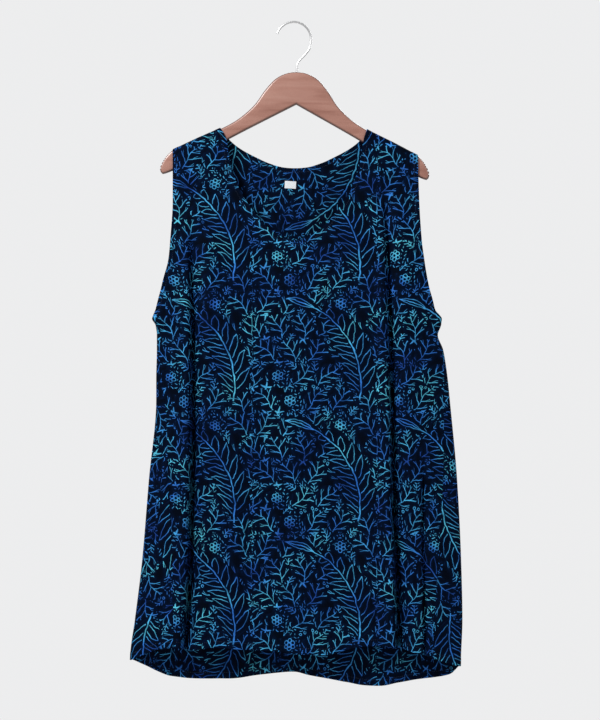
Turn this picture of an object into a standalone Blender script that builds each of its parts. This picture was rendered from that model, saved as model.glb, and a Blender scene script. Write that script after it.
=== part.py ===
"""A sleeveless top of printed cloth, hanging on a flat wooden hanger with a steel wire hook.

The origin is the inside top of the hook. +X is to the right of someone who faces the top, +Z is up, and
the top faces -Y. Distances down from the origin are called drops. The front and the back are thin walls
that meet at the shoulder seams and the side seams. Each one is a grid of points on a smooth surface, which
functions work out from the tables below, and the wall's two faces lie half its thickness to each side.
"""

import bmesh
import bpy
import numpy as np

MM = 0.001

# Driving dimensions
CLOTH = 1.6 * MM
SEAM_GAP = 0.3 * MM
WOOD_THICK = 12.0 * MM
WOOD_EDGE = 5.0 * MM
WOOD_TOP = (5.0 * MM, 74.0 * MM)
WOOD_LEAN = np.radians(1.3)
LINE_OVER_WOOD = 1.8 * MM
CURL = 7.8 * MM
TURN = 8.0 * MM
EDGE_SPAN = 62.0 * MM
ARMHOLE_ROUND = 45.0 * MM
VALLEY_WIDTH = 6.5 * MM
LIP = 13.0 * MM
RIDGE_REACH = 19.0 * MM
RIDGE_WIDTH = 9.0 * MM
RIDGE_HEIGHT = 0.16
WAVE_LENGTH = 118.0 * MM
BACK_WAVE = 230.0 * MM
SEAM_START = 0.6 * MM
WIRE = 3.2 * MM
HOOK_RADIUS = 26.0 * MM
HOOK_ARC = (161, -15)
HOOK_STEPS = 14
LABEL_SIZE = (17.0 * MM, 11.0 * MM)
LABEL_THICK = 1.0 * MM
LABEL_PLACE = (-5.0 * MM, 242.0 * MM)
LABEL_TURN = np.radians(-3.5)
STEP = 1e-6
LEAST_RADIUS = 1e-7
WELD = 0.02 * MM
CLOTH_COLOUR = (0.010, 0.022, 0.060)

# Grid of the panels: cells across each stretch between two fold lines, and down each zone
FRONT_CELLS = (3, 2, 2, 3, 13, 13, 3, 2, 2, 3)
BACK_CELLS = (7, 26, 7)
WING_CELLS = 5
CURL_ROWS = 4
ARM_ROWS = 8
BODY_ROWS = 14

# The outer edges of the hanging top at each drop (mm)
OUTLINE = {
    "drop": (150, 191, 265, 325, 355, 385, 415, 431, 438, 444, 453, 468, 490, 535, 565, 685, 805, 895, 948, 985),
    "left": (-180, -181, -181, -185, -188, -196, -203, -207, -210, -212, -207, -205, -205, -206, -206, -217, -227,
             -238, -245, -246),
    "right": (186, 186, 188, 192, 196, 201, 208, 212, 218, 222, 221, 216, 224, 231, 234, 245, 251, 253, 251, 250),
}

# How far the front and the back layers stand out from the hanger's middle plane (mm)
FRONT_OUT = {
    "drop": (150, 230, 330, 444, 600, 800, 960),
    "middle": (7.8, 9, 13, 17, 20, 23, 26),
    "edge": (7.8, 7.8, 8, 8, 8.5, 9, 10),
}
BACK_OUT = {
    "drop": (150, 230, 330, 444, 600, 800, 990),
    "middle": (7.8, 9, 10, 12, 13, 14, 15),
    "edge": (7.8, 7.8, 8, 8, 8, 8.5, 9),
    "wave": (0, 0, 0.5, 1.5, 2.5, 3.5, 5),
}

# The two deep upright folds of the front: place and depth at each drop (mm)
LEFT_FOLD = {
    "drop": (150, 290, 340, 444, 565, 805, 940),
    "x": (-154, -154, -154, -152, -151, -155, -163),
    "depth": (0, 0, 5, 11, 14, 16, 15),
}
RIGHT_FOLD = {
    "drop": (150, 235, 300, 415, 565, 715, 880, 945),
    "x": (134, 134, 138, 142, 146, 149, 155, 156),
    "depth": (0, 0, 5, 10, 13, 16, 17, 16),
}

# The front hem, the back hem and the neck edges (mm)
FRONT_HEM = {
    "x": (-244, -223, -200, -175, -155, -118, -78, -23, 6, 48, 78, 108, 133, 158, 174, 197, 222, 250),
    "drop": (955, 945, 936, 934, 939, 933, 936, 939, 943, 944, 937, 931, 930, 934, 939, 946, 955, 964),
}
BACK_HEM = {
    "x": (-244, -221, -204, -185, -140, -95, -58, -28, 2, 22, 47, 77, 107, 132, 157, 187, 212, 237, 250),
    "drop": (955, 966, 975, 982, 985, 985, 981, 978, 976, 981, 985, 990, 995, 996, 992, 987, 984, 978, 964),
}
FRONT_NECK = {
    "x": (103, 96.5, 84, 65, 40, 16),
    "drop": (174, 213, 248, 279, 308, 323),
    "centre": 327,
}
BACK_NECK = {
    "x": (97, 82, 60, 38, 16),
    "drop": (176, 188, 200, 210, 216),
    "centre": 217,
}
NECK_POINT = 110.0 * MM
SHOULDER_START = 4
NECK_SHIFT = 2.0 * MM
SHOULDER_TIP_DROP = 191.0 * MM
ARMPIT_DROP = 444.0 * MM
SEAM_AT_HEM = {"left": 70.0 * MM, "right": 54.0 * MM}
HEM_LEVEL = 945.0 * MM

# Half of the wooden hanger's outline, in distance from its middle and drop from its top (mm)
WOOD_UPPER = {
    "out": (0, 15, 33, 47, 62, 76, 90, 110, 148, 185, 195, 200),
    "drop": (0, 1, 12, 28, 50, 64, 75, 86.5, 104, 122.5, 135, 150),
}
WOOD_LOWER = {
    "out": (196, 184, 98, 0),
    "drop": (157, 152, 101.5, 48.5),
}

# The middle line of the hook's wire after its round part, in X and drop (mm)
HOOK_STEM = ((23.8, 38), (19.6, 44.4), (14.2, 50.7), (9.2, 55.5), (6.3, 60.5), (5.2, 66), (5, 73.7))


def smooth(at, table, value):
    """A table's value at each place: a cubic through its points that never overshoots them."""
    key = "drop" if value != "drop" else "x"
    xs = np.array(table[key]) * MM
    ys = np.array(table[value]) * MM
    step = np.diff(xs)
    rise = np.diff(ys) / step
    slope = np.concatenate([rise[:1], np.zeros(len(rise) - 1), rise[-1:]])
    product = rise[:-1] * rise[1:]
    same_way = product > 0
    slope[1:-1][same_way] = 2 * product[same_way] / (rise[:-1] + rise[1:])[same_way]
    at = np.clip(at, xs[0], xs[-1])
    i = np.clip(np.searchsorted(xs, at) - 1, 0, len(step) - 1)
    t = (at - xs[i]) / step[i]
    start = ys[i] * (1 + 2 * t) * (1 - t) ** 2 + slope[i] * step[i] * t * (1 - t) ** 2
    return start + ys[i + 1] * t * t * (3 - 2 * t) + slope[i + 1] * step[i] * t * t * (t - 1)


def rising(t):
    """0 to 1 with a soft start and end."""
    t = np.clip(t, 0, 1)
    return t * t * (3 - 2 * t)


def hung(out, drop):
    """A point of the hanger, from its middle and its top, as it hangs: (x, drop)."""
    turned_x = out * np.cos(WOOD_LEAN) - drop * np.sin(WOOD_LEAN)
    turned_drop = out * np.sin(WOOD_LEAN) + drop * np.cos(WOOD_LEAN)
    return WOOD_TOP[0] + turned_x, WOOD_TOP[1] + turned_drop


def shoulder_line(x):
    """The drop of the line just over the wood's upper edge at x, along which the shoulder seams lie."""
    outs = np.array(WOOD_UPPER["out"][SHOULDER_START:]) * MM
    drops = np.array(WOOD_UPPER["drop"][SHOULDER_START:]) * MM
    left_x, left_drop = hung(-outs[::-1], drops[::-1])
    right_x, right_drop = hung(outs, drops)
    line = np.interp(x, np.concatenate([left_x, right_x]), np.concatenate([left_drop, right_drop]))
    return line - LINE_OVER_WOOD


def fold(x, drop, table):
    """How far a deep upright fold draws the front layer in, less the soft ridges on each side of it."""
    away = x - smooth(drop, table, "x")
    depth = smooth(drop, table, "depth")
    ridges = sum(np.exp(-(((away - s * RIDGE_REACH) / RIDGE_WIDTH) ** 2)) for s in (-1, 1))
    return depth * (np.exp(-((away / VALLEY_WIDTH) ** 2)) - RIDGE_HEIGHT * ridges)


def openness(drop):
    """0 where the layers are joined below the armpit, rising to 1 up the rounded foot of the armhole."""
    return np.sqrt(np.clip((ARMPIT_DROP - drop) / ARMHOLE_ROUND, 0, 1))


def turn_radius(drop):
    """The radius of the round turn at a side edge, which shrinks away up the foot of the armhole."""
    return np.maximum(TURN * (1 - rising((ARMPIT_DROP - drop) / ARMHOLE_ROUND)), LEAST_RADIUS)


def edges(drop):
    return smooth(drop, OUTLINE, "left"), smooth(drop, OUTLINE, "right")


def girth(drop):
    """Length round one layer from edge to edge, its two round turns counted and its folds not."""
    left, right = edges(drop)
    return right - left + 2 * turn_radius(drop) * (np.pi / 2 - 1)


def x_along(run, drop):
    """The x at a length along a layer from its left edge."""
    left, right = edges(drop)
    radius = turn_radius(drop)
    whole = girth(drop)
    from_edge = np.minimum(run, whole - run)
    in_turn = radius * (1 - np.cos(np.clip(from_edge / radius, 0, np.pi / 2)))
    inward = np.where(from_edge < radius * np.pi / 2, in_turn, from_edge - radius * (np.pi / 2 - 1))
    return np.where(run < whole / 2, left + inward, right - inward)


def run_at(x, drop):
    """The length along a layer from its left edge to x."""
    left, right = edges(drop)
    radius = turn_radius(drop)
    inward = np.minimum(x - left, right - x)
    in_turn = radius * np.arccos(np.clip(1 - inward / radius, 0, 1))
    from_edge = np.where(inward < radius, in_turn, inward + radius * (np.pi / 2 - 1))
    return np.where(x < (left + right) / 2, from_edge, girth(drop) - from_edge)


def layer(side, run, drop):
    """The point of the front (side -1) or back (side 1) layer at a length along it and a drop."""
    x = x_along(run, drop)
    left, right = edges(drop)
    inward = np.minimum(x - left, right - x)
    radius = turn_radius(drop)
    table = FRONT_OUT if side < 0 else BACK_OUT
    edge = smooth(drop, table, "edge")
    out = edge + (smooth(drop, table, "middle") - edge) * rising(inward / EDGE_SPAN)
    if side < 0:
        out = out - fold(x, drop, LEFT_FOLD) - fold(x, drop, RIGHT_FOLD)
        swell = 2.2 * MM * rising((drop - 300 * MM) / (600 * MM))
        out = out + swell * np.sin(2 * np.pi * x / WAVE_LENGTH + 0.7) * rising(inward / EDGE_SPAN)
    else:
        wave = smooth(drop, table, "wave") * np.cos(2 * np.pi * x / BACK_WAVE)
        out = out + wave * rising(inward / EDGE_SPAN)
    turned = np.sqrt(1 - (1 - np.clip(inward / radius, 0, 1)) ** 2)
    pinch = openness(drop) + (1 - openness(drop)) * turned
    below_line = np.clip((drop - shoulder_line(x)) / CURL, 0, 1)
    over_wood = np.sqrt(1 - (1 - below_line) ** 2)
    half_gap = np.where(drop < ARMPIT_DROP, SEAM_GAP / 2, 0)
    y = side * (half_gap + (out - half_gap) * pinch * over_wood)
    return np.stack([x, y, -drop], axis=-1)


def outward(side, run, drop):
    """The direction out of the cloth at the same place, from two short steps along its surface."""
    here = layer(side, run, drop)
    inward = np.where(run < girth(drop) / 2, 1, -1)
    beside = run + STEP * inward
    line = shoulder_line(x_along(run, drop))
    by_line = np.where(drop < line + CURL, shoulder_line(x_along(beside, drop)) - line, 0)
    across = layer(side, beside, drop + by_line) - here
    down = layer(side, run, drop + STEP) - here
    normal = np.cross(across, down) * (side * inward)[..., None]
    return normal / np.linalg.norm(normal, axis=-1, keepdims=True)


def neck_path(table):
    """The neck edge from the left neck point to the right one, as dense (x, drop) points."""
    right_x = np.array(table["x"]) * MM
    right_drop = np.array(table["drop"]) * MM
    xs = np.concatenate([[-NECK_POINT], -right_x, [0], right_x[::-1], [NECK_POINT]])
    drops = np.concatenate([[0], right_drop, [table["centre"] * MM], right_drop[::-1], [0]])
    drops[[0, -1]] = shoulder_line(xs[[0, -1]])
    xs[1:-1] += NECK_SHIFT
    steps = np.hypot(np.diff(xs), np.diff(drops))
    at = np.concatenate([[0], np.cumsum(steps)])
    fine = np.linspace(0, at[-1], 400)
    path = {"drop": at / MM, "x": xs / MM, "down": drops / MM}
    return fine, smooth(fine, path, "x"), smooth(fine, path, "down")


def along_neck(share):
    """Share of the neck edge's length at each share of its columns, which crowd at the two neck points."""
    half = 1 - np.abs(2 * np.clip(share, 0, 1) - 1)
    length = 0.5 * half**3 * (2.7 - 1.7 * half)
    return np.where(share < 0.5, length, 1 - length)


def top_edge(share, stops, table):
    """The panel's upper edge, shoulder, neck and shoulder: (x, drop) at each share of its columns."""
    fine, xs, drops = neck_path(table)
    in_neck = fine[-1] * along_neck((share - stops[0]) / (stops[1] - stops[0]))
    left, right = edges(SHOULDER_TIP_DROP)
    on_left = left + (-NECK_POINT - left) * share / stops[0]
    on_right = right + (NECK_POINT - right) * (1 - share) / (1 - stops[1])
    on_shoulder = (share <= stops[0]) | (share >= stops[1])
    x = np.where(on_shoulder, np.where(share < 0.5, on_left, on_right), np.interp(in_neck, fine, xs))
    return x, np.where(on_shoulder, shoulder_line(x), np.interp(in_neck, fine, drops))


def zone_drop(rows, top, hem):
    """The drop at each row number: the curl over the wood, the armhole zone, then the body."""
    curl = np.clip(rows, 0, 1)
    arm = np.clip(rows - 1, 0, 1)
    body = np.clip(rows - 2, 0, 1)
    first = top + CURL * (1 - np.cos(curl * np.pi / 2))
    second = top + CURL + (ARMPIT_DROP - top - CURL) * arm
    third = ARMPIT_DROP + (hem - ARMPIT_DROP) * body
    return np.where(rows <= 1, first, np.where(rows <= 2, second, third))


def row_numbers():
    """Rows close together near the top edge and to each side of the armpit."""
    curl = np.arange(CURL_ROWS) / CURL_ROWS
    arm = 1 + 1 - (1 - np.arange(ARM_ROWS) / ARM_ROWS) ** 1.4
    body = 2 + (np.arange(BODY_ROWS + 1) / BODY_ROWS) ** 1.35
    return np.concatenate([curl, arm, body])


def side_seam(drop, side):
    """Length along the front layer from an edge to the side seam, which creeps round to the front."""
    down = np.clip((drop - ARMPIT_DROP) / (HEM_LEVEL - ARMPIT_DROP), 0, 1.1)
    return SEAM_START + SEAM_AT_HEM[side] * down


def front_lines(drop):
    """Lengths along the front layer to the lines that the columns of its grid follow."""
    whole = girth(drop)
    seam_left = side_seam(drop, "left") + SEAM_GAP / 2
    seam_right = whole - side_seam(drop, "right") - SEAM_GAP / 2
    left = run_at(smooth(drop, LEFT_FOLD, "x"), drop)
    right = run_at(smooth(drop, RIGHT_FOLD, "x"), drop)
    neck_left = run_at(-102 * MM + 0 * drop, drop)
    neck_right = run_at(102 * MM + 0 * drop, drop)
    middle = run_at(0 * drop, drop)
    outer_left = np.maximum(left - LIP, (left + seam_left) / 2)
    outer_right = np.minimum(right + LIP, (right + seam_right) / 2)
    return np.stack([seam_left, outer_left, left, left + LIP, neck_left, middle, neck_right, right - LIP, right,
                     outer_right, seam_right])


def front_stops():
    """The shares of the front's columns at its fold lines."""
    return np.concatenate([[0], np.cumsum(FRONT_CELLS)]) / sum(FRONT_CELLS)


def column_runs(share, drop, lines, stops):
    """The length along the layer at each share of the columns, straight between the fold lines."""
    i = np.clip(np.searchsorted(stops, share, side="right") - 1, 0, len(stops) - 2)
    t = (share - stops[i]) / (stops[i + 1] - stops[i])
    low = np.take_along_axis(lines, i[None], axis=0)[0]
    high = np.take_along_axis(lines, i[None] + 1, axis=0)[0]
    return low + (high - low) * t


def front_place(share, rows):
    """(length along the layer, drop) on the front panel at a share of its columns and a row number."""
    stops = front_stops()
    top_x, top = top_edge(share, (stops[4], stops[6]), FRONT_NECK)
    hem_level = HEM_LEVEL + 0 * share
    hem_run = column_runs(share, hem_level, front_lines(hem_level), stops)
    drop = zone_drop(rows, top, smooth(x_along(hem_run, hem_level), FRONT_HEM, "drop"))
    low, high = front_lines(drop)[[0, -1]]
    top_low, top_high = front_lines(top)[[0, -1]]
    top_share = (run_at(top_x, top) - top_low) / (top_high - top_low)
    own_share = (column_runs(share, drop, front_lines(drop), stops) - low) / (high - low)
    return low + (high - low) * (top_share + (own_share - top_share) * rising(rows - 1)), drop


def back_place(share, rows):
    """The same on the back panel, behind, from its left edge to its right edge."""
    stops = np.cumsum(BACK_CELLS) / sum(BACK_CELLS)
    top_x, top = top_edge(share, stops, BACK_NECK)
    hem_level = HEM_LEVEL + 0 * share
    drop = zone_drop(rows, top, smooth(x_along(share * girth(hem_level), hem_level), BACK_HEM, "drop"))
    top_share = run_at(top_x, top) / girth(top)
    return girth(drop) * (top_share + (share - top_share) * rising(rows - 1)), drop


def left_wing_place(share, rows):
    """The same where the back panel's left side wraps to the front: share 0 at the edge, 1 at the seam."""
    level = HEM_LEVEL + 0 * share
    hem_x = x_along((side_seam(level, "left") - SEAM_GAP / 2) * share, level)
    drop = zone_drop(rows, ARMPIT_DROP, smooth(hem_x, FRONT_HEM, "drop"))
    return (side_seam(drop, "left") - SEAM_GAP / 2) * share, drop


def right_wing_place(share, rows):
    level = HEM_LEVEL + 0 * share
    hem_x = x_along(girth(level) - (side_seam(level, "right") - SEAM_GAP / 2) * share, level)
    drop = zone_drop(rows, ARMPIT_DROP, smooth(hem_x, FRONT_HEM, "drop"))
    return girth(drop) - (side_seam(drop, "right") - SEAM_GAP / 2) * share, drop


def sheet_points(side, place_of, shares, rows):
    """A grid of points on the surface, and the outward direction at each."""
    share, row = np.meshgrid(shares, rows)
    run, drop = place_of(share, row)
    return layer(side, run, drop), outward(side, run, drop)


def add_grid(mesh, layer_out, points, normals, turned):
    """Adds a grid's points, with their outward directions, and its faces."""
    grid = [[mesh.verts.new(p) for p in row] for row in points]
    for row, directions in zip(grid, normals):
        for vertex, direction in zip(row, directions):
            vertex[layer_out] = direction
    for upper, lower in zip(grid, grid[1:]):
        for a, b, c, d in zip(upper, upper[1:], lower[1:], lower):
            mesh.faces.new((a, b, c, d) if turned else (a, d, c, b))


def cloth_object(name, patches, colour):
    """One closed wall from patches of (points, outward directions, turned), with a rim all round."""
    mesh = bmesh.new()
    layer_out = mesh.verts.layers.float_vector.new("outward")
    for points, normals, turned in patches:
        add_grid(mesh, layer_out, points, normals, turned)
    bmesh.ops.remove_doubles(mesh, verts=mesh.verts[:], dist=WELD)
    rim = [edge for edge in mesh.edges if edge.is_boundary]
    outer = mesh.verts[:] + mesh.edges[:] + mesh.faces[:]
    made = bmesh.ops.duplicate(mesh, geom=outer)
    inner_of = made["vert_map"]
    inner_faces = [g for g in made["geom"] if isinstance(g, bmesh.types.BMFace)]
    bmesh.ops.reverse_faces(mesh, faces=inner_faces)
    for edge in rim:
        loop = edge.link_loops[0]
        first, second = loop.vert, loop.link_loop_next.vert
        mesh.faces.new((second, first, inner_of[first], inner_of[second]))
    for vertex in [g for g in outer if isinstance(g, bmesh.types.BMVert)]:
        step = vertex[layer_out] * (CLOTH / 2)
        inner_of[vertex].co = vertex.co - step
        vertex.co = vertex.co + step
    data = bpy.data.meshes.new(name)
    mesh.to_mesh(data)
    mesh.free()
    data.shade_smooth()
    data.set_sharp_from_angle(angle=np.radians(50))
    return place(name, data, colour, roughness=0.8, metallic=0.0)


def place(name, data, colour, roughness, metallic):
    """An object with its own Principled material."""
    material = bpy.data.materials.new(name)
    material.use_nodes = True
    shader = material.node_tree.nodes["Principled BSDF"]
    shader.inputs["Base Color"].default_value = (*colour, 1.0)
    shader.inputs["Roughness"].default_value = roughness
    shader.inputs["Metallic"].default_value = metallic
    data.materials.append(material)
    thing = bpy.data.objects.new(name, data)
    bpy.context.collection.objects.link(thing)
    return thing


def make_front():
    shares = np.linspace(0, 1, sum(FRONT_CELLS) + 1)
    points, normals = sheet_points(-1, front_place, shares, row_numbers())
    return cloth_object("front", [(points, normals, False)], CLOTH_COLOUR)


def make_back():
    """The back, with the two stretches of it that wrap round the edges to the front."""
    rows = row_numbers()
    low_rows = rows[rows >= 2]
    wing_shares = np.linspace(0, 1, WING_CELLS + 1)
    patches = [
        (*sheet_points(1, back_place, np.linspace(0, 1, sum(BACK_CELLS) + 1), rows), True),
        (*sheet_points(-1, left_wing_place, wing_shares, low_rows), False),
        (*sheet_points(-1, right_wing_place, wing_shares, low_rows), True),
    ]
    return cloth_object("back", patches, CLOTH_COLOUR)


def make_label():
    """A small flat label on the inner face of the back, under its neck edge."""
    across, up = np.meshgrid((-0.5, 0.5), (0.5, -0.5))
    x = across * LABEL_SIZE[0]
    z = up * LABEL_SIZE[1]
    turned_x = LABEL_PLACE[0] + x * np.cos(LABEL_TURN) - z * np.sin(LABEL_TURN)
    turned_drop = LABEL_PLACE[1] - x * np.sin(LABEL_TURN) - z * np.cos(LABEL_TURN)
    on_back = layer(1, run_at(turned_x, turned_drop), turned_drop)
    on_back[..., 1] = on_back[..., 1].min() - CLOTH / 2 - SEAM_GAP
    mesh = bmesh.new()
    back_face = [mesh.verts.new(on_back[i, j]) for i, j in ((0, 0), (0, 1), (1, 1), (1, 0))]
    face = mesh.faces.new(back_face)
    moved = bmesh.ops.extrude_face_region(mesh, geom=[face])["geom"]
    bmesh.ops.translate(mesh, verts=[g for g in moved if isinstance(g, bmesh.types.BMVert)], vec=(0, -LABEL_THICK, 0))
    bmesh.ops.recalc_face_normals(mesh, faces=mesh.faces[:])
    data = bpy.data.meshes.new("label")
    mesh.to_mesh(data)
    mesh.free()
    return place("label", data, (0.62, 0.64, 0.66), roughness=0.7, metallic=0.0)


def make_hanger():
    """The flat wooden body: its outline drawn out to its thickness, with rounded edges."""
    upper = list(zip(WOOD_UPPER["out"], WOOD_UPPER["drop"]))
    lower = list(zip(WOOD_LOWER["out"], WOOD_LOWER["drop"]))
    right = upper + lower
    left = [(-out, drop) for out, drop in right[1:-1]]
    outline = right + left[::-1]
    mesh = bmesh.new()
    corners = []
    for out, drop in outline:
        x, down = hung(out * MM, drop * MM)
        corners.append(mesh.verts.new((x, -WOOD_THICK / 2, -down)))
    face = mesh.faces.new(corners)
    moved = bmesh.ops.extrude_face_region(mesh, geom=[face])["geom"]
    bmesh.ops.translate(mesh, verts=[g for g in moved if isinstance(g, bmesh.types.BMVert)], vec=(0, WOOD_THICK, 0))
    bmesh.ops.recalc_face_normals(mesh, faces=mesh.faces[:])
    rims = [edge for edge in mesh.edges if abs(edge.verts[0].co.y - edge.verts[1].co.y) < WOOD_THICK / 2]
    bmesh.ops.bevel(mesh, geom=rims, offset=WOOD_EDGE, segments=3, profile=0.5, affect="EDGES")
    data = bpy.data.meshes.new("hanger")
    mesh.to_mesh(data)
    mesh.free()
    data.shade_smooth()
    data.set_sharp_from_angle(angle=np.radians(30))
    return place("hanger", data, (0.30, 0.12, 0.07), roughness=0.35, metallic=0.0)


def make_hook():
    """The wire hook: an open round hook, an easy bend back to the middle, and a straight stem."""
    middle_drop = HOOK_RADIUS - WIRE / 2
    points = []
    for angle in np.radians(np.linspace(*HOOK_ARC, HOOK_STEPS)):
        points.append((HOOK_RADIUS * np.cos(angle), middle_drop - HOOK_RADIUS * np.sin(angle)))
    points += [(x * MM, drop * MM) for x, drop in HOOK_STEM]
    curve = bpy.data.curves.new("hook", "CURVE")
    curve.dimensions = "3D"
    curve.bevel_depth = WIRE / 2
    curve.bevel_resolution = 2
    curve.use_fill_caps = True
    wire = curve.splines.new("POLY")
    wire.points.add(len(points) - 1)
    for point, (x, drop) in zip(wire.points, points):
        point.co = (x, 0, -drop, 1)
    wire.use_smooth = True
    return place("hook", curve, (0.70, 0.70, 0.70), roughness=0.25, metallic=1.0)


def main():
    for thing in list(bpy.data.objects):
        bpy.data.objects.remove(thing, do_unlink=True)
    make_front()
    make_back()
    make_label()
    make_hanger()
    make_hook()


main()
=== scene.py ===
# %% [markdown]
# # A sleeveless top on a wooden hanger
#
# This lesson dresses a plain measured model of a printed sleeveless top. The model, called the frame,
# already has the right sizes: a front and a back of cloth, a small label, a flat wooden hanger and its wire
# hook. Here each of them gets the form and the finish of the real thing. The origin is the inside top of
# the hook, +X is to the right of someone who faces the top, and the top faces -Y. Distances down from the
# origin are drops.

# %% Load the frame
import math

import bpy
import numpy as np
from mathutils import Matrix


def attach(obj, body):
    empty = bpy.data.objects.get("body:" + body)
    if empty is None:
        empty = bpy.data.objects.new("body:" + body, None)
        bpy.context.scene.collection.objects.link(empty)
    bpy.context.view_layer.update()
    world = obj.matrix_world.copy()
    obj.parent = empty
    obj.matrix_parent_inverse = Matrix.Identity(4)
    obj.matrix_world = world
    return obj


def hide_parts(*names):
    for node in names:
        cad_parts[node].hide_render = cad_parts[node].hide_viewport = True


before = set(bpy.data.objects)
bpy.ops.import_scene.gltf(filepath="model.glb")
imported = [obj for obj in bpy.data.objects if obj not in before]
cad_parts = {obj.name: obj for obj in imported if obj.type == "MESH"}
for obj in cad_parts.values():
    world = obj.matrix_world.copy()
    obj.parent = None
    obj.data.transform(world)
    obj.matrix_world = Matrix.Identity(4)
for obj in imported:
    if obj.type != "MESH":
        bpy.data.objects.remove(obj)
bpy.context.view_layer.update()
MM = 0.001
print("nodes:", sorted(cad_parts))

# %% [markdown]
# ## The camera
#
# The photograph looks straight at the top from a few steps away, so its sides hardly lean. A long lens far
# back gives the same flat look. The lens is worked out from the height that the picture has to take in.

# %% Place the camera
CAMERA_AT = (9.5 * MM, -2.9, -505.5 * MM)
PICTURE_HEIGHT = 1.08
SENSOR = 36.0

bpy.ops.object.select_all(action="DESELECT")
bpy.ops.object.camera_add(location=CAMERA_AT, rotation=(math.pi / 2, 0, 0))
camera = bpy.context.object
camera.name = "camera"
camera.data.sensor_width = SENSOR
camera.data.lens = SENSOR * -CAMERA_AT[1] / PICTURE_HEIGHT
bpy.context.scene.camera = camera
print("lens in mm:", round(camera.data.lens, 1))

# %% [markdown]
# ## Helpers for finishes
#
# Every finish is a small tree of nodes. A node is added, its inputs are set, and it is joined to others, in
# the same few lines each time, so short functions take them up. The plainest finish, a shade that wanders a
# little between two colours, serves the floor, the thread and the steel.

# %% Helpers for nodes and plain materials
def feed(tree, value, socket):
    """Set an input to a value, or join it to the output that gives one."""
    if isinstance(value, bpy.types.NodeSocket):
        tree.links.new(value, socket)
    else:
        socket.default_value = value


def add_node(tree, kind, inputs=(), **settings):
    """A new shader node, its settings made and its inputs fed."""
    node = tree.nodes.new("ShaderNode" + kind)
    for name, value in settings.items():
        setattr(node, name, value)
    for name, value in dict(inputs).items():
        feed(tree, value, node.inputs[name])
    return node


def new_material(name, constants):
    """A new material, its node tree and its shader, with the shader's constant inputs set."""
    material = bpy.data.materials.new(name)
    material.use_nodes = True
    shader = material.node_tree.nodes["Principled BSDF"]
    for input_name, value in constants.items():
        shader.inputs[input_name].default_value = value
    return material, material.node_tree, shader


def mix_colours(tree, share, first, second):
    """A colour between two, each a colour or the output that gives one."""
    node = add_node(tree, "Mix", data_type="RGBA")
    for name, value in (("Factor", share), ("A", first), ("B", second)):
        feed(tree, value, node.inputs[name])
    return node.outputs["Result"]


def noise(tree, vector, scale, detail=2.0, distortion=0.0):
    """A noise texture over the places that a vector output gives."""
    values = {"Vector": vector, "Scale": scale, "Detail": detail, "Distortion": distortion}
    return add_node(tree, "TexNoise", values)


def object_place(tree):
    """The output that gives a place on the piece itself, in metres."""
    return add_node(tree, "TexCoord").outputs["Object"]


def uneven_material(name, scale, first, second, constants):
    """A plain finish whose shade wanders a little between two colours."""
    material, tree, shader = new_material(name, constants)
    share = noise(tree, object_place(tree), scale).outputs["Fac"]
    feed(tree, mix_colours(tree, share, first, second), shader.inputs["Base Color"])
    return material


# %% [markdown]
# ## The room
#
# A hanging thing is best seen before a plain pale ground. The camera sees the world as a pale grey, but
# what the world sheds on the cloth is dimmer, so that the folds keep their shade. Most of the light comes
# from one big lamp at the upper left. A weaker one lifts the right side, and one behind keeps the back from
# going dark.

# %% Make the floor, the pale world and the lamps
FLOOR_DROP = 1.40
FLOOR_RADIUS = 1.3
FLOOR_SHADES = ((0.65, 0.65, 0.65, 1.0), (0.68, 0.68, 0.68, 1.0))
WORLD_GREY = (0.845, 0.848, 0.855, 1.0)
ROOM_LIGHT = 0.45
AIM = (0.0, 0.0, -0.5)
LAMPS = (
    ("key", (-1.9, -1.9, 1.6), 0.8, 105.0),
    ("fill", (2.2, -1.8, 0.1), 1.6, 14.0),
    ("rear", (0.6, 2.6, 0.8), 1.8, 55.0),
)

bpy.ops.object.select_all(action="DESELECT")
bpy.ops.mesh.primitive_circle_add(vertices=96, radius=FLOOR_RADIUS, fill_type="NGON",
                                  location=(0, 0, -FLOOR_DROP))
floor = bpy.context.object
floor.name = "floor"
floor.data.materials.append(uneven_material("pale floor", 3.0, *FLOOR_SHADES, {"Roughness": 0.85}))

world = bpy.data.worlds.new("pale room")
world.use_nodes = True
world_tree = world.node_tree
backdrop = world_tree.nodes["Background"]
backdrop.inputs["Color"].default_value = WORLD_GREY
room_light = add_node(world_tree, "Background", {"Color": WORLD_GREY, "Strength": ROOM_LIGHT})
ray = add_node(world_tree, "LightPath")
either = add_node(world_tree, "MixShader", {
    "Fac": ray.outputs["Is Camera Ray"],
    1: room_light.outputs["Background"],
    2: backdrop.outputs["Background"],
})
world_tree.links.new(either.outputs["Shader"], world_tree.nodes["World Output"].inputs["Surface"])
bpy.context.scene.world = world
bpy.context.scene.view_settings.view_transform = "Standard"

for name, at, size, watts in LAMPS:
    bpy.ops.object.light_add(type="AREA", location=at)
    lamp = bpy.context.object
    lamp.name = name
    lamp.data.size = size
    lamp.data.energy = watts
    right, away, up = np.array(AIM) - np.array(at)
    lamp.rotation_euler = (math.pi / 2 + math.atan2(up, math.hypot(right, away)), 0, math.atan2(-right, away))
print("lamps:", ", ".join(name for name, *_ in LAMPS))

# %% [markdown]
# ## The surface of the cloth
#
# Cloth that hangs is a smooth surface, so it is described by functions and not by a list of points. Two
# numbers name a place on a layer: its run, which is the length along the layer from the left edge, and its
# drop. Short tables of sizes say how the outline and the folds change with the drop, and how the hems change
# from left to right. A soft cubic joins the entries of a table.

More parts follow.
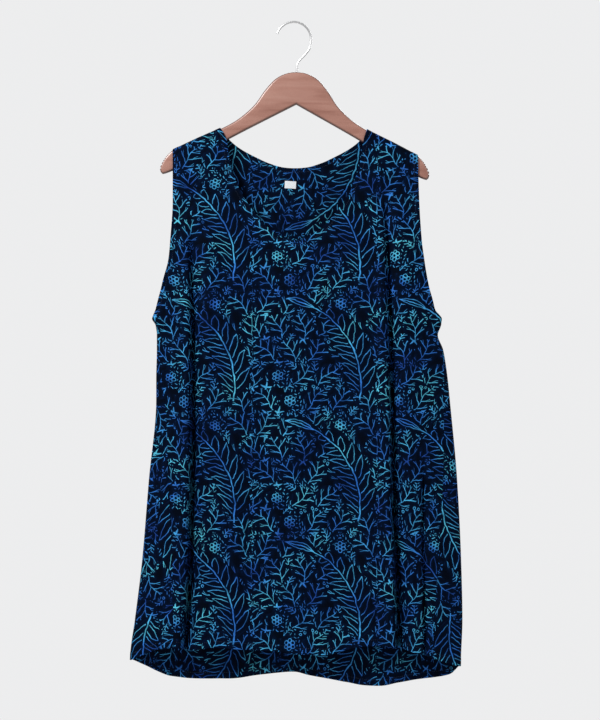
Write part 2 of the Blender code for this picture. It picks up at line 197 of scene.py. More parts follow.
# %% Read a table softly
def smooth(at, table, value, key="drop"):
    """A table's value at each place: a cubic through its points that never overshoots them."""
    xs = np.array(table[key]) * MM
    ys = np.array(table[value]) * MM
    step = np.diff(xs)
    rise = np.diff(ys) / step
    slope = np.concatenate([rise[:1], np.zeros(len(rise) - 1), rise[-1:]])
    product = rise[:-1] * rise[1:]
    same_way = product > 0
    slope[1:-1][same_way] = 2 * product[same_way] / (rise[:-1] + rise[1:])[same_way]
    at = np.clip(at, xs[0], xs[-1])
    i = np.clip(np.searchsorted(xs, at) - 1, 0, len(step) - 1)
    t = (at - xs[i]) / step[i]
    start = ys[i] * (1 + 2 * t) * (1 - t) ** 2 + slope[i] * step[i] * t * (1 - t) ** 2
    return start + ys[i + 1] * t * t * (3 - 2 * t) + slope[i + 1] * step[i] * t * t * (t - 1)


def rising(t):
    """0 to 1 with a soft start and end."""
    t = np.clip(t, 0, 1)
    return t * t * (3 - 2 * t)


# %% The hanger's edge, which carries the shoulders
WOOD_TOP = (5.0 * MM, 74.0 * MM)
WOOD_LEAN = np.radians(1.3)
LINE_OVER_WOOD = 1.8 * MM
SHOULDER_START = 6
WOOD_UPPER = {
    "out": (0, 8, 15, 24, 33, 47, 62, 76, 90, 110, 148, 185, 196, 202),
    "drop": (0, 0.6, 2.2, 5.9, 12, 28, 50, 64, 75, 86.5, 104, 122.5, 135, 150),
}
WOOD_LOWER = {
    "out": (198, 185, 98, 0),
    "drop": (157, 152.5, 101.5, 48.5),
}


def hung(out, drop):
    """A point of the hanger, from its middle and its top, as it hangs: (x, drop)."""
    turned_x = out * np.cos(WOOD_LEAN) - drop * np.sin(WOOD_LEAN)
    turned_drop = out * np.sin(WOOD_LEAN) + drop * np.cos(WOOD_LEAN)
    return WOOD_TOP[0] + turned_x, WOOD_TOP[1] + turned_drop


def shoulder_line(x):
    """The drop of the line just over the wood's upper edge at x, along which the shoulder seams lie."""
    outs = np.array(WOOD_UPPER["out"][SHOULDER_START:]) * MM
    drops = np.array(WOOD_UPPER["drop"][SHOULDER_START:]) * MM
    left_x, left_drop = hung(-outs[::-1], drops[::-1])
    right_x, right_drop = hung(outs, drops)
    line = np.interp(x, np.concatenate([left_x, right_x]), np.concatenate([left_drop, right_drop]))
    return line - LINE_OVER_WOOD


shoulders = shoulder_line(np.array([-0.15, 0.15]))
print("shoulder line at the middle of each shoulder, mm:", np.round(shoulders / MM, 1))

# %% Outline, depth and folds of the hanging cloth
SEAM_GAP = 0.3 * MM
CURL = 7.8 * MM
TURN = 8.0 * MM
EDGE_SPAN = 62.0 * MM
ARMHOLE_ROUND = 45.0 * MM
ARMPIT_DROP = 444.0 * MM
LIP = 13.0 * MM
STEEP_WIDTH = 3.4 * MM
GENTLE_WIDTH = 11.0 * MM
SLOT_AWAY = 1.6 * MM
SLOT_WIDTH = 2.3 * MM
SLOT_DEPTH = 0.55
RIDGES = {"away": (-10.5, 25.0), "width": (6.5, 9.0), "height": (0.24, 0.14)}
WAVE_LENGTH = 118.0 * MM
BACK_WAVE = 230.0 * MM
LEAST_RADIUS = 1e-7

OUTLINE = {
    "drop": (150, 191, 265, 325, 355, 385, 415, 431, 438, 444,
             453, 468, 490, 535, 565, 685, 805, 895, 948, 985),
    "left": (-180, -181, -181, -185, -188, -196, -203, -207, -210, -212,
             -207, -205, -205, -206, -206, -217, -227, -238, -245, -246),
    "right": (186, 186, 188, 192, 196, 201, 208, 212, 218, 222,
              221, 216, 224, 231, 234, 245, 251, 253, 251, 250),
}
FRONT_OUT = {
    "drop": (150, 230, 330, 444, 600, 800, 960),
    "middle": (7.8, 9, 13, 17, 20, 23, 26),
    "edge": (7.8, 7.8, 8, 8, 8.5, 9, 10),
}
BACK_OUT = {
    "drop": (150, 230, 330, 444, 600, 800, 990),
    "middle": (7.8, 9, 10, 12, 13, 14, 15),
    "edge": (7.8, 7.8, 8, 8, 8, 8.5, 9),
    "wave": (0, 0, 0.5, 1.5, 2.5, 3.5, 5),
}
LEFT_FOLD = {
    "drop": (150, 290, 340, 444, 565, 805, 940),
    "x": (-154, -154, -154, -152, -151, -155, -163),
    "depth": (0, 0, 5, 11, 14, 16, 15),
}
RIGHT_FOLD = {
    "drop": (150, 235, 300, 415, 565, 715, 880, 945),
    "x": (134, 134, 138, 142, 146, 149, 155, 156),
    "depth": (0, 0, 5, 10, 13, 16, 17, 16),
}


def fold(x, drop, table):
    """How far a deep upright fold draws the front layer in, less the ridges on each side of it. The cloth
    laps over from the left, so that side is steep, with a dark slot at its foot, and the other is gentle."""
    away = x - smooth(drop, table, "x")
    depth = smooth(drop, table, "depth")
    valley = np.exp(-((away / np.where(away < 0, STEEP_WIDTH, GENTLE_WIDTH)) ** 2))
    slot = SLOT_DEPTH * np.exp(-(((away - SLOT_AWAY) / SLOT_WIDTH) ** 2))
    ridges = sum(height * np.exp(-(((away / MM - reach) / width) ** 2))
                 for reach, width, height in zip(*RIDGES.values()))
    return depth * (valley + slot - ridges)


# %% Round the sides and measure along the cloth
def openness(drop):
    """0 where the layers are joined below the armpit, rising to 1 up the rounded foot of the armhole."""
    return np.sqrt(np.clip((ARMPIT_DROP - drop) / ARMHOLE_ROUND, 0, 1))


def turn_radius(drop):
    """The radius of the round turn at a side edge, which shrinks away up the foot of the armhole."""
    return np.maximum(TURN * (1 - rising((ARMPIT_DROP - drop) / ARMHOLE_ROUND)), LEAST_RADIUS)


def edges(drop):
    """The outline's left and right x at a drop."""
    return smooth(drop, OUTLINE, "left"), smooth(drop, OUTLINE, "right")


def girth(drop):
    """Length round one layer from edge to edge, its two round turns counted and its folds not."""
    left, right = edges(drop)
    return right - left + 2 * turn_radius(drop) * (np.pi / 2 - 1)


def x_along(run, drop):
    """The x at a length along a layer from its left edge."""
    left, right = edges(drop)
    radius = turn_radius(drop)
    whole = girth(drop)
    from_edge = np.minimum(run, whole - run)
    in_turn = radius * (1 - np.cos(np.clip(from_edge / radius, 0, np.pi / 2)))
    inward = np.where(from_edge < radius * np.pi / 2, in_turn, from_edge - radius * (np.pi / 2 - 1))
    return np.where(run < whole / 2, left + inward, right - inward)


def run_at(x, drop):
    """The length along a layer from its left edge to x."""
    left, right = edges(drop)
    radius = turn_radius(drop)
    inward = np.minimum(x - left, right - x)
    in_turn = radius * np.arccos(np.clip(1 - inward / radius, 0, 1))
    from_edge = np.where(inward < radius, in_turn, inward + radius * (np.pi / 2 - 1))
    return np.where(x < (left + right) / 2, from_edge, girth(drop) - from_edge)


print("round one layer at the armpit, mm:", round(float(girth(ARMPIT_DROP)) / MM, 1))

# %% [markdown]
# ## Soft creases
#
# The deep folds are in the frame already. A thin cloth also has shallow troughs and ridges that fade in and
# out: long upright ones where the skirt hangs free, and short slanting ones that pull from the shoulders and
# from the armpits. One crease takes one entry from each line of its table, so that each has its own length,
# width and depth, and no two are alike. Two of the front's run beside the right side seam and stand for the
# dark line there, and one of these is narrow and 9 mm deep.

# %% The creases of the front and of the back
FRONT_CREASES = {
    "top_x": (-112, -84, -52, -20, 14, 46, 78, 104, -66, 62, -30, 118, -122, 30, -170, 172,
              -150, 150, -188, 196, -95, 88, -8, -198, 192, 178),
    "foot_x": (-122, -88, -46, -24, 22, 44, 86, 116, -70, 70, -34, 128, -136, 36, -112, 112,
               -92, 100, -128, 136, -128, 122, 2, -202, 196, 186),
    "from": (430, 520, 380, 600, 470, 640, 420, 560, 700, 330, 760, 690, 300, 820, 215, 220,
             180, 184, 430, 430, 200, 206, 560, 800, 600, 520),
    "to": (960, 900, 800, 965, 960, 965, 900, 960, 965, 640, 965, 960, 560, 965, 330, 345,
           260, 270, 560, 550, 300, 310, 760, 990, 990, 860),
    "width": (9, 7, 11, 8, 12, 9, 8, 7, 6, 12, 6, 7, 9, 7, 8, 8, 7, 7, 9, 9, 9, 9, 10, 5, 2.4, 8),
    "depth": (-1.6, 1.1, -1.0, 1.4, -1.5, 1.2, -1.3, 1.3, -1.0, 0.9, -1.2, -1.1, 0.8, 0.9, -1.0, -1.0,
              0.7, 0.7, -1.1, -1.2, -0.7, -0.7, 0.8, -4.0, -9.0, -1.4),
}
BACK_CREASES = {
    "top_x": (-150, -118, -92, -60, -34, -4, 28, 57, 90, 121, 152, 178, -176, -74, 66, -20,
              -172, 176, -150, 150, -194, 200, 10),
    "foot_x": (-160, -112, -98, -56, -40, 4, 26, 64, 88, 130, 156, 192, -190, -78, 74, -28,
               -108, 110, -90, 96, -132, 138, 16),
    "from": (470, 560, 400, 640, 350, 480, 610, 420, 520, 460, 590, 520, 540, 780, 800, 300,
             225, 220, 190, 196, 440, 440, 720),
    "to": (990, 960, 850, 990, 820, 990, 990, 900, 990, 930, 990, 980, 980, 990, 990, 560,
           345, 340, 280, 285, 580, 560, 990),
    "width": (9, 8, 10, 8, 12, 9, 8, 10, 9, 8, 9, 7, 7, 6, 6, 12, 8, 8, 7, 7, 9, 9, 7),
    "depth": (-1.7, 1.3, -1.2, 1.5, -1.0, -1.6, 1.3, -1.2, 1.4, -1.5, 1.2, -1.0, 1.0, -0.9, -1.0, 0.8,
              -1.0, -0.9, 0.7, 0.7, -1.1, -1.0, 1.0),
}
FADE_IN = 0.28
FADE_OUT = 0.30
HEM_REACH = 950
RIPPLE = 0.35 * MM


def creases(x, drop, table):
    """How far the shallow creases push the layer out. One that reaches the hem doesn't fade there."""
    total = np.zeros(np.broadcast(x, drop).shape)
    for top_x, foot_x, start, end, width, depth in zip(*table.values()):
        t = (drop / MM - start) / (end - start)
        centre = top_x + (foot_x - top_x) * np.clip(t, 0, 1)
        share = rising(t / FADE_IN) * rising((1 - t) / FADE_OUT + (end > HEM_REACH))
        total += depth * MM * share * np.exp(-(((x / MM - centre) / width) ** 2))
    return total


def ripple(x, drop):
    """The slight unevenness of cloth that was washed and ironed, from a few waves that never line up."""
    across, down = x / MM, drop / MM
    waves = np.sin(across / 13.7 + 1.3 * np.sin(down / 41)) * np.sin(down / 23.3 + 1.1 * np.sin(across / 37))
    return RIPPLE * (waves + 0.6 * np.sin(across / 8.1 + down / 29.7) * np.sin(down / 61 + across / 53))


print("creases:", len(FRONT_CREASES["depth"]), "in front and", len(BACK_CREASES["depth"]), "behind")

# %% The two layers of the cloth as one function
SWELL = 2.2 * MM
SWELL_FROM = 300 * MM
SWELL_OVER = 600 * MM
SWELL_PHASE = 0.7
RELIEF_BELOW_CURL = 40 * MM
RELIEF_FROM_EDGE = 16 * MM


def layer(side, run, drop):
    """The point of the front (side -1) or back (side 1) layer at a length along it and a drop."""
    x = x_along(run, drop)
    left, right = edges(drop)
    inward = np.minimum(x - left, right - x)
    radius = turn_radius(drop)
    table = FRONT_OUT if side < 0 else BACK_OUT
    edge = smooth(drop, table, "edge")
    inside = rising(inward / EDGE_SPAN)
    out = edge + (smooth(drop, table, "middle") - edge) * inside
    if side < 0:
        out = out - fold(x, drop, LEFT_FOLD) - fold(x, drop, RIGHT_FOLD)
        swell = SWELL * rising((drop - SWELL_FROM) / SWELL_OVER)
        out = out + swell * np.sin(2 * np.pi * x / WAVE_LENGTH + SWELL_PHASE) * inside
    else:
        out = out + smooth(drop, table, "wave") * np.cos(2 * np.pi * x / BACK_WAVE) * inside
    below = rising((drop - shoulder_line(x) - CURL) / RELIEF_BELOW_CURL)
    relief = creases(x, drop, FRONT_CREASES if side < 0 else BACK_CREASES) + ripple(x, drop + 0.3 * side)
    out = out + relief * below * rising(inward / RELIEF_FROM_EDGE)
    turned = np.sqrt(1 - (1 - np.clip(inward / radius, 0, 1)) ** 2)
    pinch = openness(drop) + (1 - openness(drop)) * turned
    below_line = np.clip((drop - shoulder_line(x)) / CURL, 0, 1)
    over_wood = np.sqrt(1 - (1 - below_line) ** 2)
    half_gap = np.where(drop < ARMPIT_DROP, SEAM_GAP / 2, 0)
    y = side * (half_gap + (out - half_gap) * pinch * over_wood)
    return np.stack([x, y, -drop], axis=-1)


chest = layer(-1, run_at(np.array([0.0]), np.array([0.4])), np.array([0.4]))
print("the front stands", round(-chest[0, 1] / MM, 1), "mm before the hanger's middle at the chest")

# %% [markdown]
# ## The cut of the panels
#
# A maker cuts a front and a back, and each is drawn as a grid of rows and columns. The top edge of a panel
# runs along one shoulder, round the neck and along the other shoulder. The side seams creep round to the
# front as they go down, so two narrow wings of the back show beside the front.

# %% Edges of the panels
FRONT_HEM = {
    "x": (-244, -223, -200, -175, -155, -118, -78, -23, 6, 48, 78, 108, 133, 158, 174, 197, 222, 250),
    "drop": (955, 945, 936, 934, 939, 933, 936, 939, 943, 944, 937, 931, 930, 934, 939, 946, 955, 964),
}
BACK_HEM = {
    "x": (-244, -221, -204, -185, -140, -95, -58, -28, 2, 22, 47, 77, 107, 132, 157, 187, 212, 237, 250),
    "drop": (955, 966, 975, 982, 985, 985, 981, 978, 976, 981, 985, 990, 995, 996, 992, 987, 984, 978, 964),
}
FRONT_NECK = {
    "x": (103, 96.5, 84, 65, 40, 16),
    "drop": (174, 213, 248, 279, 308, 323),
    "centre": 327,
}
BACK_NECK = {
    "x": (97, 82, 60, 38, 16),
    "drop": (176, 188, 200, 210, 216),
    "centre": 217,
}
NECK_POINT = 110.0 * MM
NECK_SHIFT = 2.0 * MM
NECK_STEPS = 400
SHOULDER_TIP_DROP = 191.0 * MM
SEAM_START = 0.6 * MM
SEAM_AT_HEM = {"left": 70.0 * MM, "right": 54.0 * MM}
HEM_LEVEL = 945.0 * MM


# %% Follow the hem, the neck and the seams
def hem_drop(x, table):
    """The drop of a wavy hem at x."""
    return smooth(x, table, "drop", key="x")


def neck_path(table):
    """The neck edge from the left neck point to the right one: length along it, x and drop."""
    right_x = np.array(table["x"]) * MM
    right_drop = np.array(table["drop"]) * MM
    xs = np.concatenate([[-NECK_POINT], -right_x, [0], right_x[::-1], [NECK_POINT]])
    drops = np.concatenate([[0], right_drop, [table["centre"] * MM], right_drop[::-1], [0]])
    drops[[0, -1]] = shoulder_line(xs[[0, -1]])
    xs[1:-1] += NECK_SHIFT
    steps = np.hypot(np.diff(xs), np.diff(drops))
    at = np.concatenate([[0], np.cumsum(steps)])
    fine = np.linspace(0, at[-1], NECK_STEPS)
    path = {"at": at / MM, "x": xs / MM, "down": drops / MM}
    return fine, smooth(fine, path, "x", key="at"), smooth(fine, path, "down", key="at")


def along_neck(share):
    """Share of the neck edge's length at each share of its columns, which crowd at the two neck points."""
    half = 1 - np.abs(2 * np.clip(share, 0, 1) - 1)
    length = 0.5 * half**3 * (2.7 - 1.7 * half)
    return np.where(share < 0.5, length, 1 - length)


def top_edge(share, stops, table):
    """The panel's upper edge, shoulder, neck and shoulder: (x, drop) at each share of its columns."""
    fine, xs, drops = neck_path(table)
    in_neck = fine[-1] * along_neck((share - stops[0]) / (stops[1] - stops[0]))
    left, right = edges(SHOULDER_TIP_DROP)
    on_left = left + (-NECK_POINT - left) * share / stops[0]
    on_right = right + (NECK_POINT - right) * (1 - share) / (1 - stops[1])
    on_shoulder = (share <= stops[0]) | (share >= stops[1])
    x = np.where(on_shoulder, np.where(share < 0.5, on_left, on_right), np.interp(in_neck, fine, xs))
    return x, np.where(on_shoulder, shoulder_line(x), np.interp(in_neck, fine, drops))


def side_seam(drop, side):
    """Length along the front layer from an edge to the side seam, which creeps round to the front."""
    down = np.clip((drop - ARMPIT_DROP) / (HEM_LEVEL - ARMPIT_DROP), 0, 1.1)
    return SEAM_START + SEAM_AT_HEM[side] * down


# %% Rows and columns
NECK_LINE = 102 * MM
FRONT_CELLS = (9, 12, 14, 8, 41, 41, 8, 12, 14, 15)
BACK_CELLS = (24, 84, 24)
WING_CELLS = 24
CURL_ROWS = 8
ARM_ROWS = 88
BODY_ROWS = 168
ARM_CROWDING = 1.15
BODY_CROWDING = 1.08


def zone_drop(rows, top, hem):
    """The drop at each row number: the curl over the wood, the armhole zone, then the body."""
    curl = np.clip(rows, 0, 1)
    arm = np.clip(rows - 1, 0, 1)
    body = np.clip(rows - 2, 0, 1)
    first = top + CURL * (1 - np.cos(curl * np.pi / 2))
    second = top + CURL + (ARMPIT_DROP - top - CURL) * arm
    third = ARMPIT_DROP + (hem - ARMPIT_DROP) * body
    return np.where(rows <= 1, first, np.where(rows <= 2, second, third))


def row_numbers():
    """Row numbers: 0 to 1 over the wood, 1 to 2 down to the armpit, and 2 to 3 from there to the hem."""
    curl = np.arange(CURL_ROWS) / CURL_ROWS
    arm = 2 - (1 - np.arange(ARM_ROWS) / ARM_ROWS) ** ARM_CROWDING
    body = 2 + (np.arange(BODY_ROWS + 1) / BODY_ROWS) ** BODY_CROWDING
    return np.concatenate([curl, arm, body])


def front_lines(drop):
    """Lengths along the front layer to the lines that the columns of its grid follow."""
    whole = girth(drop)
    seam_left = side_seam(drop, "left") + SEAM_GAP / 2
    seam_right = whole - side_seam(drop, "right") - SEAM_GAP / 2
    left = run_at(smooth(drop, LEFT_FOLD, "x"), drop)
    right = run_at(smooth(drop, RIGHT_FOLD, "x"), drop)
    neck_left = run_at(-NECK_LINE + 0 * drop, drop)
    neck_right = run_at(NECK_LINE + 0 * drop, drop)
    middle = run_at(0 * drop, drop)
    outer_left = np.maximum(left - LIP, (left + seam_left) / 2)
    outer_right = np.minimum(right + LIP, (right + seam_right) / 2)
    return np.stack([seam_left, outer_left, left, left + LIP, neck_left, middle,
                     neck_right, right - LIP, right, outer_right, seam_right])


def column_runs(share, lines, stops):
    """The length along the layer at each share of the columns, straight between the fold lines."""
    i = np.clip(np.searchsorted(stops, share, side="right") - 1, 0, len(stops) - 2)
    t = (share - stops[i]) / (stops[i + 1] - stops[i])
    low = np.take_along_axis(lines, i[None], axis=0)[0]
    high = np.take_along_axis(lines, i[None] + 1, axis=0)[0]
    return low + (high - low) * t


# %% Places on each panel
def front_place(share, rows):
    """(length along the layer, drop) on the front panel at a share of its columns and a row number."""
    stops = np.concatenate([[0], np.cumsum(FRONT_CELLS)]) / sum(FRONT_CELLS)
    top_x, top = top_edge(share, (stops[4], stops[6]), FRONT_NECK)
    hem_level = HEM_LEVEL + 0 * share
    hem_run = column_runs(share, front_lines(hem_level), stops)
    drop = zone_drop(rows, top, hem_drop(x_along(hem_run, hem_level), FRONT_HEM))
    low, high = front_lines(drop)[[0, -1]]
    top_low, top_high = front_lines(top)[[0, -1]]
    top_share = (run_at(top_x, top) - top_low) / (top_high - top_low)
    own_share = (column_runs(share, front_lines(drop), stops) - low) / (high - low)
    return low + (high - low) * (top_share + (own_share - top_share) * rising(rows - 1)), drop


def back_place(share, rows):
    """The same on the back panel, behind, from its left edge to its right edge."""
    stops = np.cumsum(BACK_CELLS) / sum(BACK_CELLS)
    top_x, top = top_edge(share, stops, BACK_NECK)
    hem_level = HEM_LEVEL + 0 * share
    drop = zone_drop(rows, top, hem_drop(x_along(share * girth(hem_level), hem_level), BACK_HEM))
    top_share = run_at(top_x, top) / girth(top)
    return girth(drop) * (top_share + (share - top_share) * rising(rows - 1)), drop


def run_from(hand, length, drop):
    """The length along a layer, from its left edge, at a length in from one of its two edges."""
    return length if hand == "left" else girth(drop) - length


def wing_place(hand, share, rows):
    """The same where the back panel wraps to the front: share 0 at the edge, 1 at the seam."""
    level = HEM_LEVEL + 0 * share
    hem_run = run_from(hand, (side_seam(level, hand) - SEAM_GAP / 2) * share, level)
    drop = zone_drop(rows, ARMPIT_DROP, hem_drop(x_along(hem_run, level), FRONT_HEM))
    return run_from(hand, (side_seam(drop, hand) - SEAM_GAP / 2) * share, drop), drop


def left_wing_place(share, rows):
    """The place on the left wing, for the grid below."""
    return wing_place("left", share, rows)


def right_wing_place(share, rows):
    """The place on the right wing."""
    return wing_place("right", share, rows)


print("rows:", len(row_numbers()))
print("columns:", sum(FRONT_CELLS) + 1, "in front and", sum(BACK_CELLS) + 1, "behind")

# %% [markdown]
# ## Where the print lies
#
# The print was stamped on flat cloth, so it has to follow the cloth into each fold and out again. Its own
# map says how: one way it holds the true length along the cloth from the middle line, measured over every
# fold, and the other way it holds the height.

# %% Length along the cloth
ARC_FROM = 140 * MM
ARC_TO = 1000 * MM
ARC_DROPS = 260
ARC_RUNS = 1400


def arc_table(side):
    """Length along a layer from its left edge, at many heights and shares of its girth."""
    drops = np.linspace(ARC_FROM, ARC_TO, ARC_DROPS)[:, None]
    shares = np.linspace(0, 1, ARC_RUNS)[None, :]
    points = layer(side, shares * girth(drops), drops + 0 * shares)
    steps = np.linalg.norm(np.diff(points, axis=1), axis=-1)
    return np.concatenate([np.zeros((ARC_DROPS, 1)), np.cumsum(steps, axis=1)], axis=1)


ARCS = {side: arc_table(side) for side in (-1, 1)}


def arc_length(side, run, drop):
    """The length along the cloth at this height from the layer's left edge."""
    row = np.clip((drop - ARC_FROM) / (ARC_TO - ARC_FROM), 0, 1) * (ARC_DROPS - 1)
    column = np.clip(run / girth(drop), 0, 1) * (ARC_RUNS - 1)
    i = np.minimum(row.astype(int), ARC_DROPS - 2)
    j = np.minimum(column.astype(int), ARC_RUNS - 2)
    a, b = row - i, column - j
    arcs = ARCS[side]
    upper = arcs[i, j] * (1 - b) + arcs[i, j + 1] * b
    lower = arcs[i + 1, j] * (1 - b) + arcs[i + 1, j + 1] * b
    return upper * (1 - a) + lower * a


def middle_arc(side, drop):
    """The length along the cloth to its middle line."""
    return arc_length(side, run_at(0 * drop, drop), drop)


def front_print(run, drop):
    """Where a place of the front lies on the flat printed cloth: across and up."""
    return arc_length(-1, run, drop) - middle_arc(-1, drop), -drop


def back_print(run, drop):
    """The back was cut from the cloth turned half round, so its print runs the other way."""
    return arc_length(1, run, drop) - middle_arc(1, drop), drop


def left_wing_print(run, drop):
    """The back's map goes on round the edge, so the print runs over it unbroken."""
    return -middle_arc(1, drop) - arc_length(-1, run, drop), drop


def right_wing_print(run, drop):
    """The same past the right edge."""
    end = girth(drop)
    past_edge = arc_length(-1, end, drop) - arc_length(-1, run, drop)
    return arc_length(1, end, drop) - middle_arc(1, drop) + past_edge, drop


low_hem = np.array([0.93])
round_front = arc_length(-1, girth(low_hem), low_hem)[0]
print("cloth round the front layer near the hem, mm:", round(float(round_front) / MM))

# %% [markdown]
# ## The sheets
#
# The two panels are thin sheets. Each is made as one skin of faces between the grid's points, and a
# Solidify modifier then gives it both faces. Hems and bindings are cloth folded over, so they are thicker:
# a vertex group tells Solidify where.

# %% Helpers for pieces, and the thickness of the cloth
CLOTH = 1.0 * MM
SINGLE = 0.45
HEM_BAND = 10.0 * MM
BINDING = 7.0 * MM
BAND_EDGE = 2.5 * MM
ARM_BAND_END = 4 * MM
NECK_THINNING = 4
SHARP_CLOTH = math.radians(60)


def select_only(thing):
    """Deselect everything else, so that the next operator acts on this piece alone."""
    bpy.ops.object.select_all(action="DESELECT")
    thing.select_set(True)
    bpy.context.view_layer.objects.active = thing


def apply_modifier(thing, kind, **settings):
    """Give the piece a modifier with these settings, and apply it."""
    select_only(thing)
    modifier = thing.modifiers.new(kind.lower(), kind)
    for name, value in settings.items():
        setattr(modifier, name, value)
    bpy.ops.object.modifier_apply(modifier=modifier.name)


def new_piece(name, points, faces):
    """A new object in the scene from points and faces."""
    mesh = bpy.data.meshes.new(name)
    mesh.from_pydata(points, [], faces)
    thing = bpy.data.objects.new(name, mesh)
    bpy.context.collection.objects.link(thing)
    return thing


# %% Find where the cloth is doubled over
def distance_to_path(x, drop, path_x, path_drop):
    """Distance from each place to the nearest point of a path, all laid flat."""
    nearest = np.full(x.shape, 1.0)
    for px, pd in zip(path_x, path_drop):
        nearest = np.minimum(nearest, np.hypot(x - px, drop - pd))
    return nearest


def band(distance, width):
    """1 on a folded edge this wide, falling softly to 0 past it."""
    return rising((width + BAND_EDGE - distance) / BAND_EDGE)


def doubled(run, drop, neck, hem):
    """How far the cloth is doubled over at the neck, the armholes and the hem: 0 to 1."""
    x = x_along(run, drop)
    _, path_x, path_drop = neck_path(neck)
    left, right = edges(drop)
    at_neck = band(distance_to_path(x, drop, path_x[::NECK_THINNING], path_drop[::NECK_THINNING]), BINDING)
    at_hem = band(hem_drop(x, hem) - drop, HEM_BAND)
    above_foot = rising((ARMPIT_DROP + ARM_BAND_END - drop) / (2 * ARM_BAND_END))
    by_arm = band(np.minimum(x - left, right - x), BINDING) * above_foot
    return np.maximum(np.maximum(at_neck, at_hem), by_arm)


# %% Join patches of cloth into one sheet
def grid_patch(side, place_of, print_of, columns, rows, neck, hem):
    """Points, print places and doubling of one patch of cloth."""
    share, row = np.meshgrid(np.linspace(0, 1, columns + 1), rows)
    run, drop = place_of(share, row)
    across, up = print_of(run, drop)
    return layer(side, run, drop), np.stack([across, up], axis=-1), doubled(run, drop, neck, hem)


def sheet_from(name, patches):
    """One mesh from patches of (points, print, doubling, turned, borrowed). A borrowed first column is the
    column of the first patch that the patch joins."""
    points, prints, weights, faces = [], [], [], []
    first_grid = None
    count = 0
    for grid_points, grid_print, grid_weight, turned, borrowed in patches:
        rows, columns = grid_points.shape[:2]
        numbers = np.full((rows, columns), -1)
        start = 0
        if borrowed is not None:
            numbers[:, 0] = first_grid[-rows:, borrowed]
            start = 1
        numbers[:, start:] = count + np.arange(rows * (columns - start)).reshape(rows, columns - start)
        count += rows * (columns - start)
        points.append(grid_points[:, start:].reshape(-1, 3))
        prints.append(grid_print[:, start:].reshape(-1, 2))
        weights.append(grid_weight[:, start:].reshape(-1))
        corners = [numbers[:-1, :-1], numbers[1:, :-1], numbers[1:, 1:], numbers[:-1, 1:]]
        quads = np.stack(corners[::-1] if turned else corners, axis=-1).reshape(-1, 4)
        faces.append(quads)
        if first_grid is None:
            first_grid = numbers
    thing = new_piece(name, np.concatenate(points), np.concatenate(faces))
    mesh = thing.data
    uv = mesh.uv_layers.new(name="print")
    corner_vertices = np.empty(len(mesh.loops), int)
    mesh.loops.foreach_get("vertex_index", corner_vertices)
    uv.data.foreach_set("uv", np.concatenate(prints)[corner_vertices].ravel())
    group = thing.vertex_groups.new(name="doubled")
    for number, weight in enumerate(np.concatenate(weights)):
        group.add([number], float(weight), "REPLACE")
    return thing


# %% Give the sheet its two faces
def give_wall(thing):
    """Solidify the sheet: full thickness where the cloth is doubled over. The inner face takes the second
    material, and the rim the first."""
    apply_modifier(thing, "SOLIDIFY", thickness=CLOTH, offset=0, vertex_group="doubled",
                   thickness_vertex_group=SINGLE, material_offset=1, material_offset_rim=0)
    bpy.ops.object.shade_smooth_by_angle(angle=SHARP_CLOTH)
    print(thing.name, "has", sum(len(face.vertices) - 2 for face in thing.data.polygons), "triangles")


# %% Make the front and the back
ALL_ROWS = row_numbers()
LOW_ROWS = ALL_ROWS[ALL_ROWS >= 2]

front_patch = grid_patch(-1, front_place, front_print, sum(FRONT_CELLS), ALL_ROWS, FRONT_NECK, FRONT_HEM)
front_cloth = sheet_from("front_cloth", [(*front_patch, False, None)])

back_patch = grid_patch(1, back_place, back_print, sum(BACK_CELLS), ALL_ROWS, BACK_NECK, BACK_HEM)
left_wing = grid_patch(-1, left_wing_place, left_wing_print, WING_CELLS, LOW_ROWS, FRONT_NECK, FRONT_HEM)
right_wing = grid_patch(-1, right_wing_place, right_wing_print, WING_CELLS, LOW_ROWS, FRONT_NECK, FRONT_HEM)
back_cloth = sheet_from("back_cloth", [
    (*back_patch, True, None),
    (*left_wing, False, 0),
    (*right_wing, True, sum(BACK_CELLS)),
])

# %% [markdown]
# ## The print
#
# The cloth is near black, stamped by hand with blocks about 187 mm wide. Each block holds one arching fern
# frond, and sprigs, fir twigs, ring flowers and stars round it, in lines from royal blue to teal with a
# navy bloom beside them. No picture is used. Each motif is a sum that gives the distance to its nearest
# line, and the colour follows from that distance. Such sums need many Math nodes, so a small helper lets
# Python's own signs add them.

# %% Write sums as nodes
class Wire:
    """One number in a node tree. Python's signs and the methods below add Math nodes to it."""

    def __init__(self, socket):
        self.socket = socket
        self.tree = socket.id_data

    def __add__(self, other):
        return sum_of("ADD", self, other)

    __radd__ = __add__

    def __sub__(self, other):
        return sum_of("SUBTRACT", self, other)

    def __rsub__(self, other):
        return sum_of("SUBTRACT", other, self)

    def __mul__(self, other):
        return sum_of("MULTIPLY", self, other)

    __rmul__ = __mul__

    def __truediv__(self, other):
        return sum_of("DIVIDE", self, other)

    def __abs__(self):
        return sum_of("ABSOLUTE", self)

    def wrapped(self, reach):
        """The number folded into -reach to reach, again and again."""
        return sum_of("WRAP", self, reach, -reach)

    def clamped(self):
        """The number held between 0 and 1."""
        return sum_of("MULTIPLY", self, 1.0, clamp=True)


def sum_of(operation, *values, clamp=False):
    """One Math node over Wires and plain numbers."""
    tree = next(value.tree for value in values if isinstance(value, Wire))
    node = add_node(tree, "Math", operation=operation, use_clamp=clamp)
    for socket, value in zip(node.inputs, values):
        feed(tree, value.socket if isinstance(value, Wire) else value, socket)
    return Wire(node.outputs[0])


# %% Least, most, turns, dice and cells
def chained(operation, values):
    """One number from many, taken two at a time."""
    found = values[0]
    for value in values[1:]:
        found = sum_of(operation, found, value)
    return found


def least(*values):
    return chained("MINIMUM", values)


def most(*values):
    return chained("MAXIMUM", values)


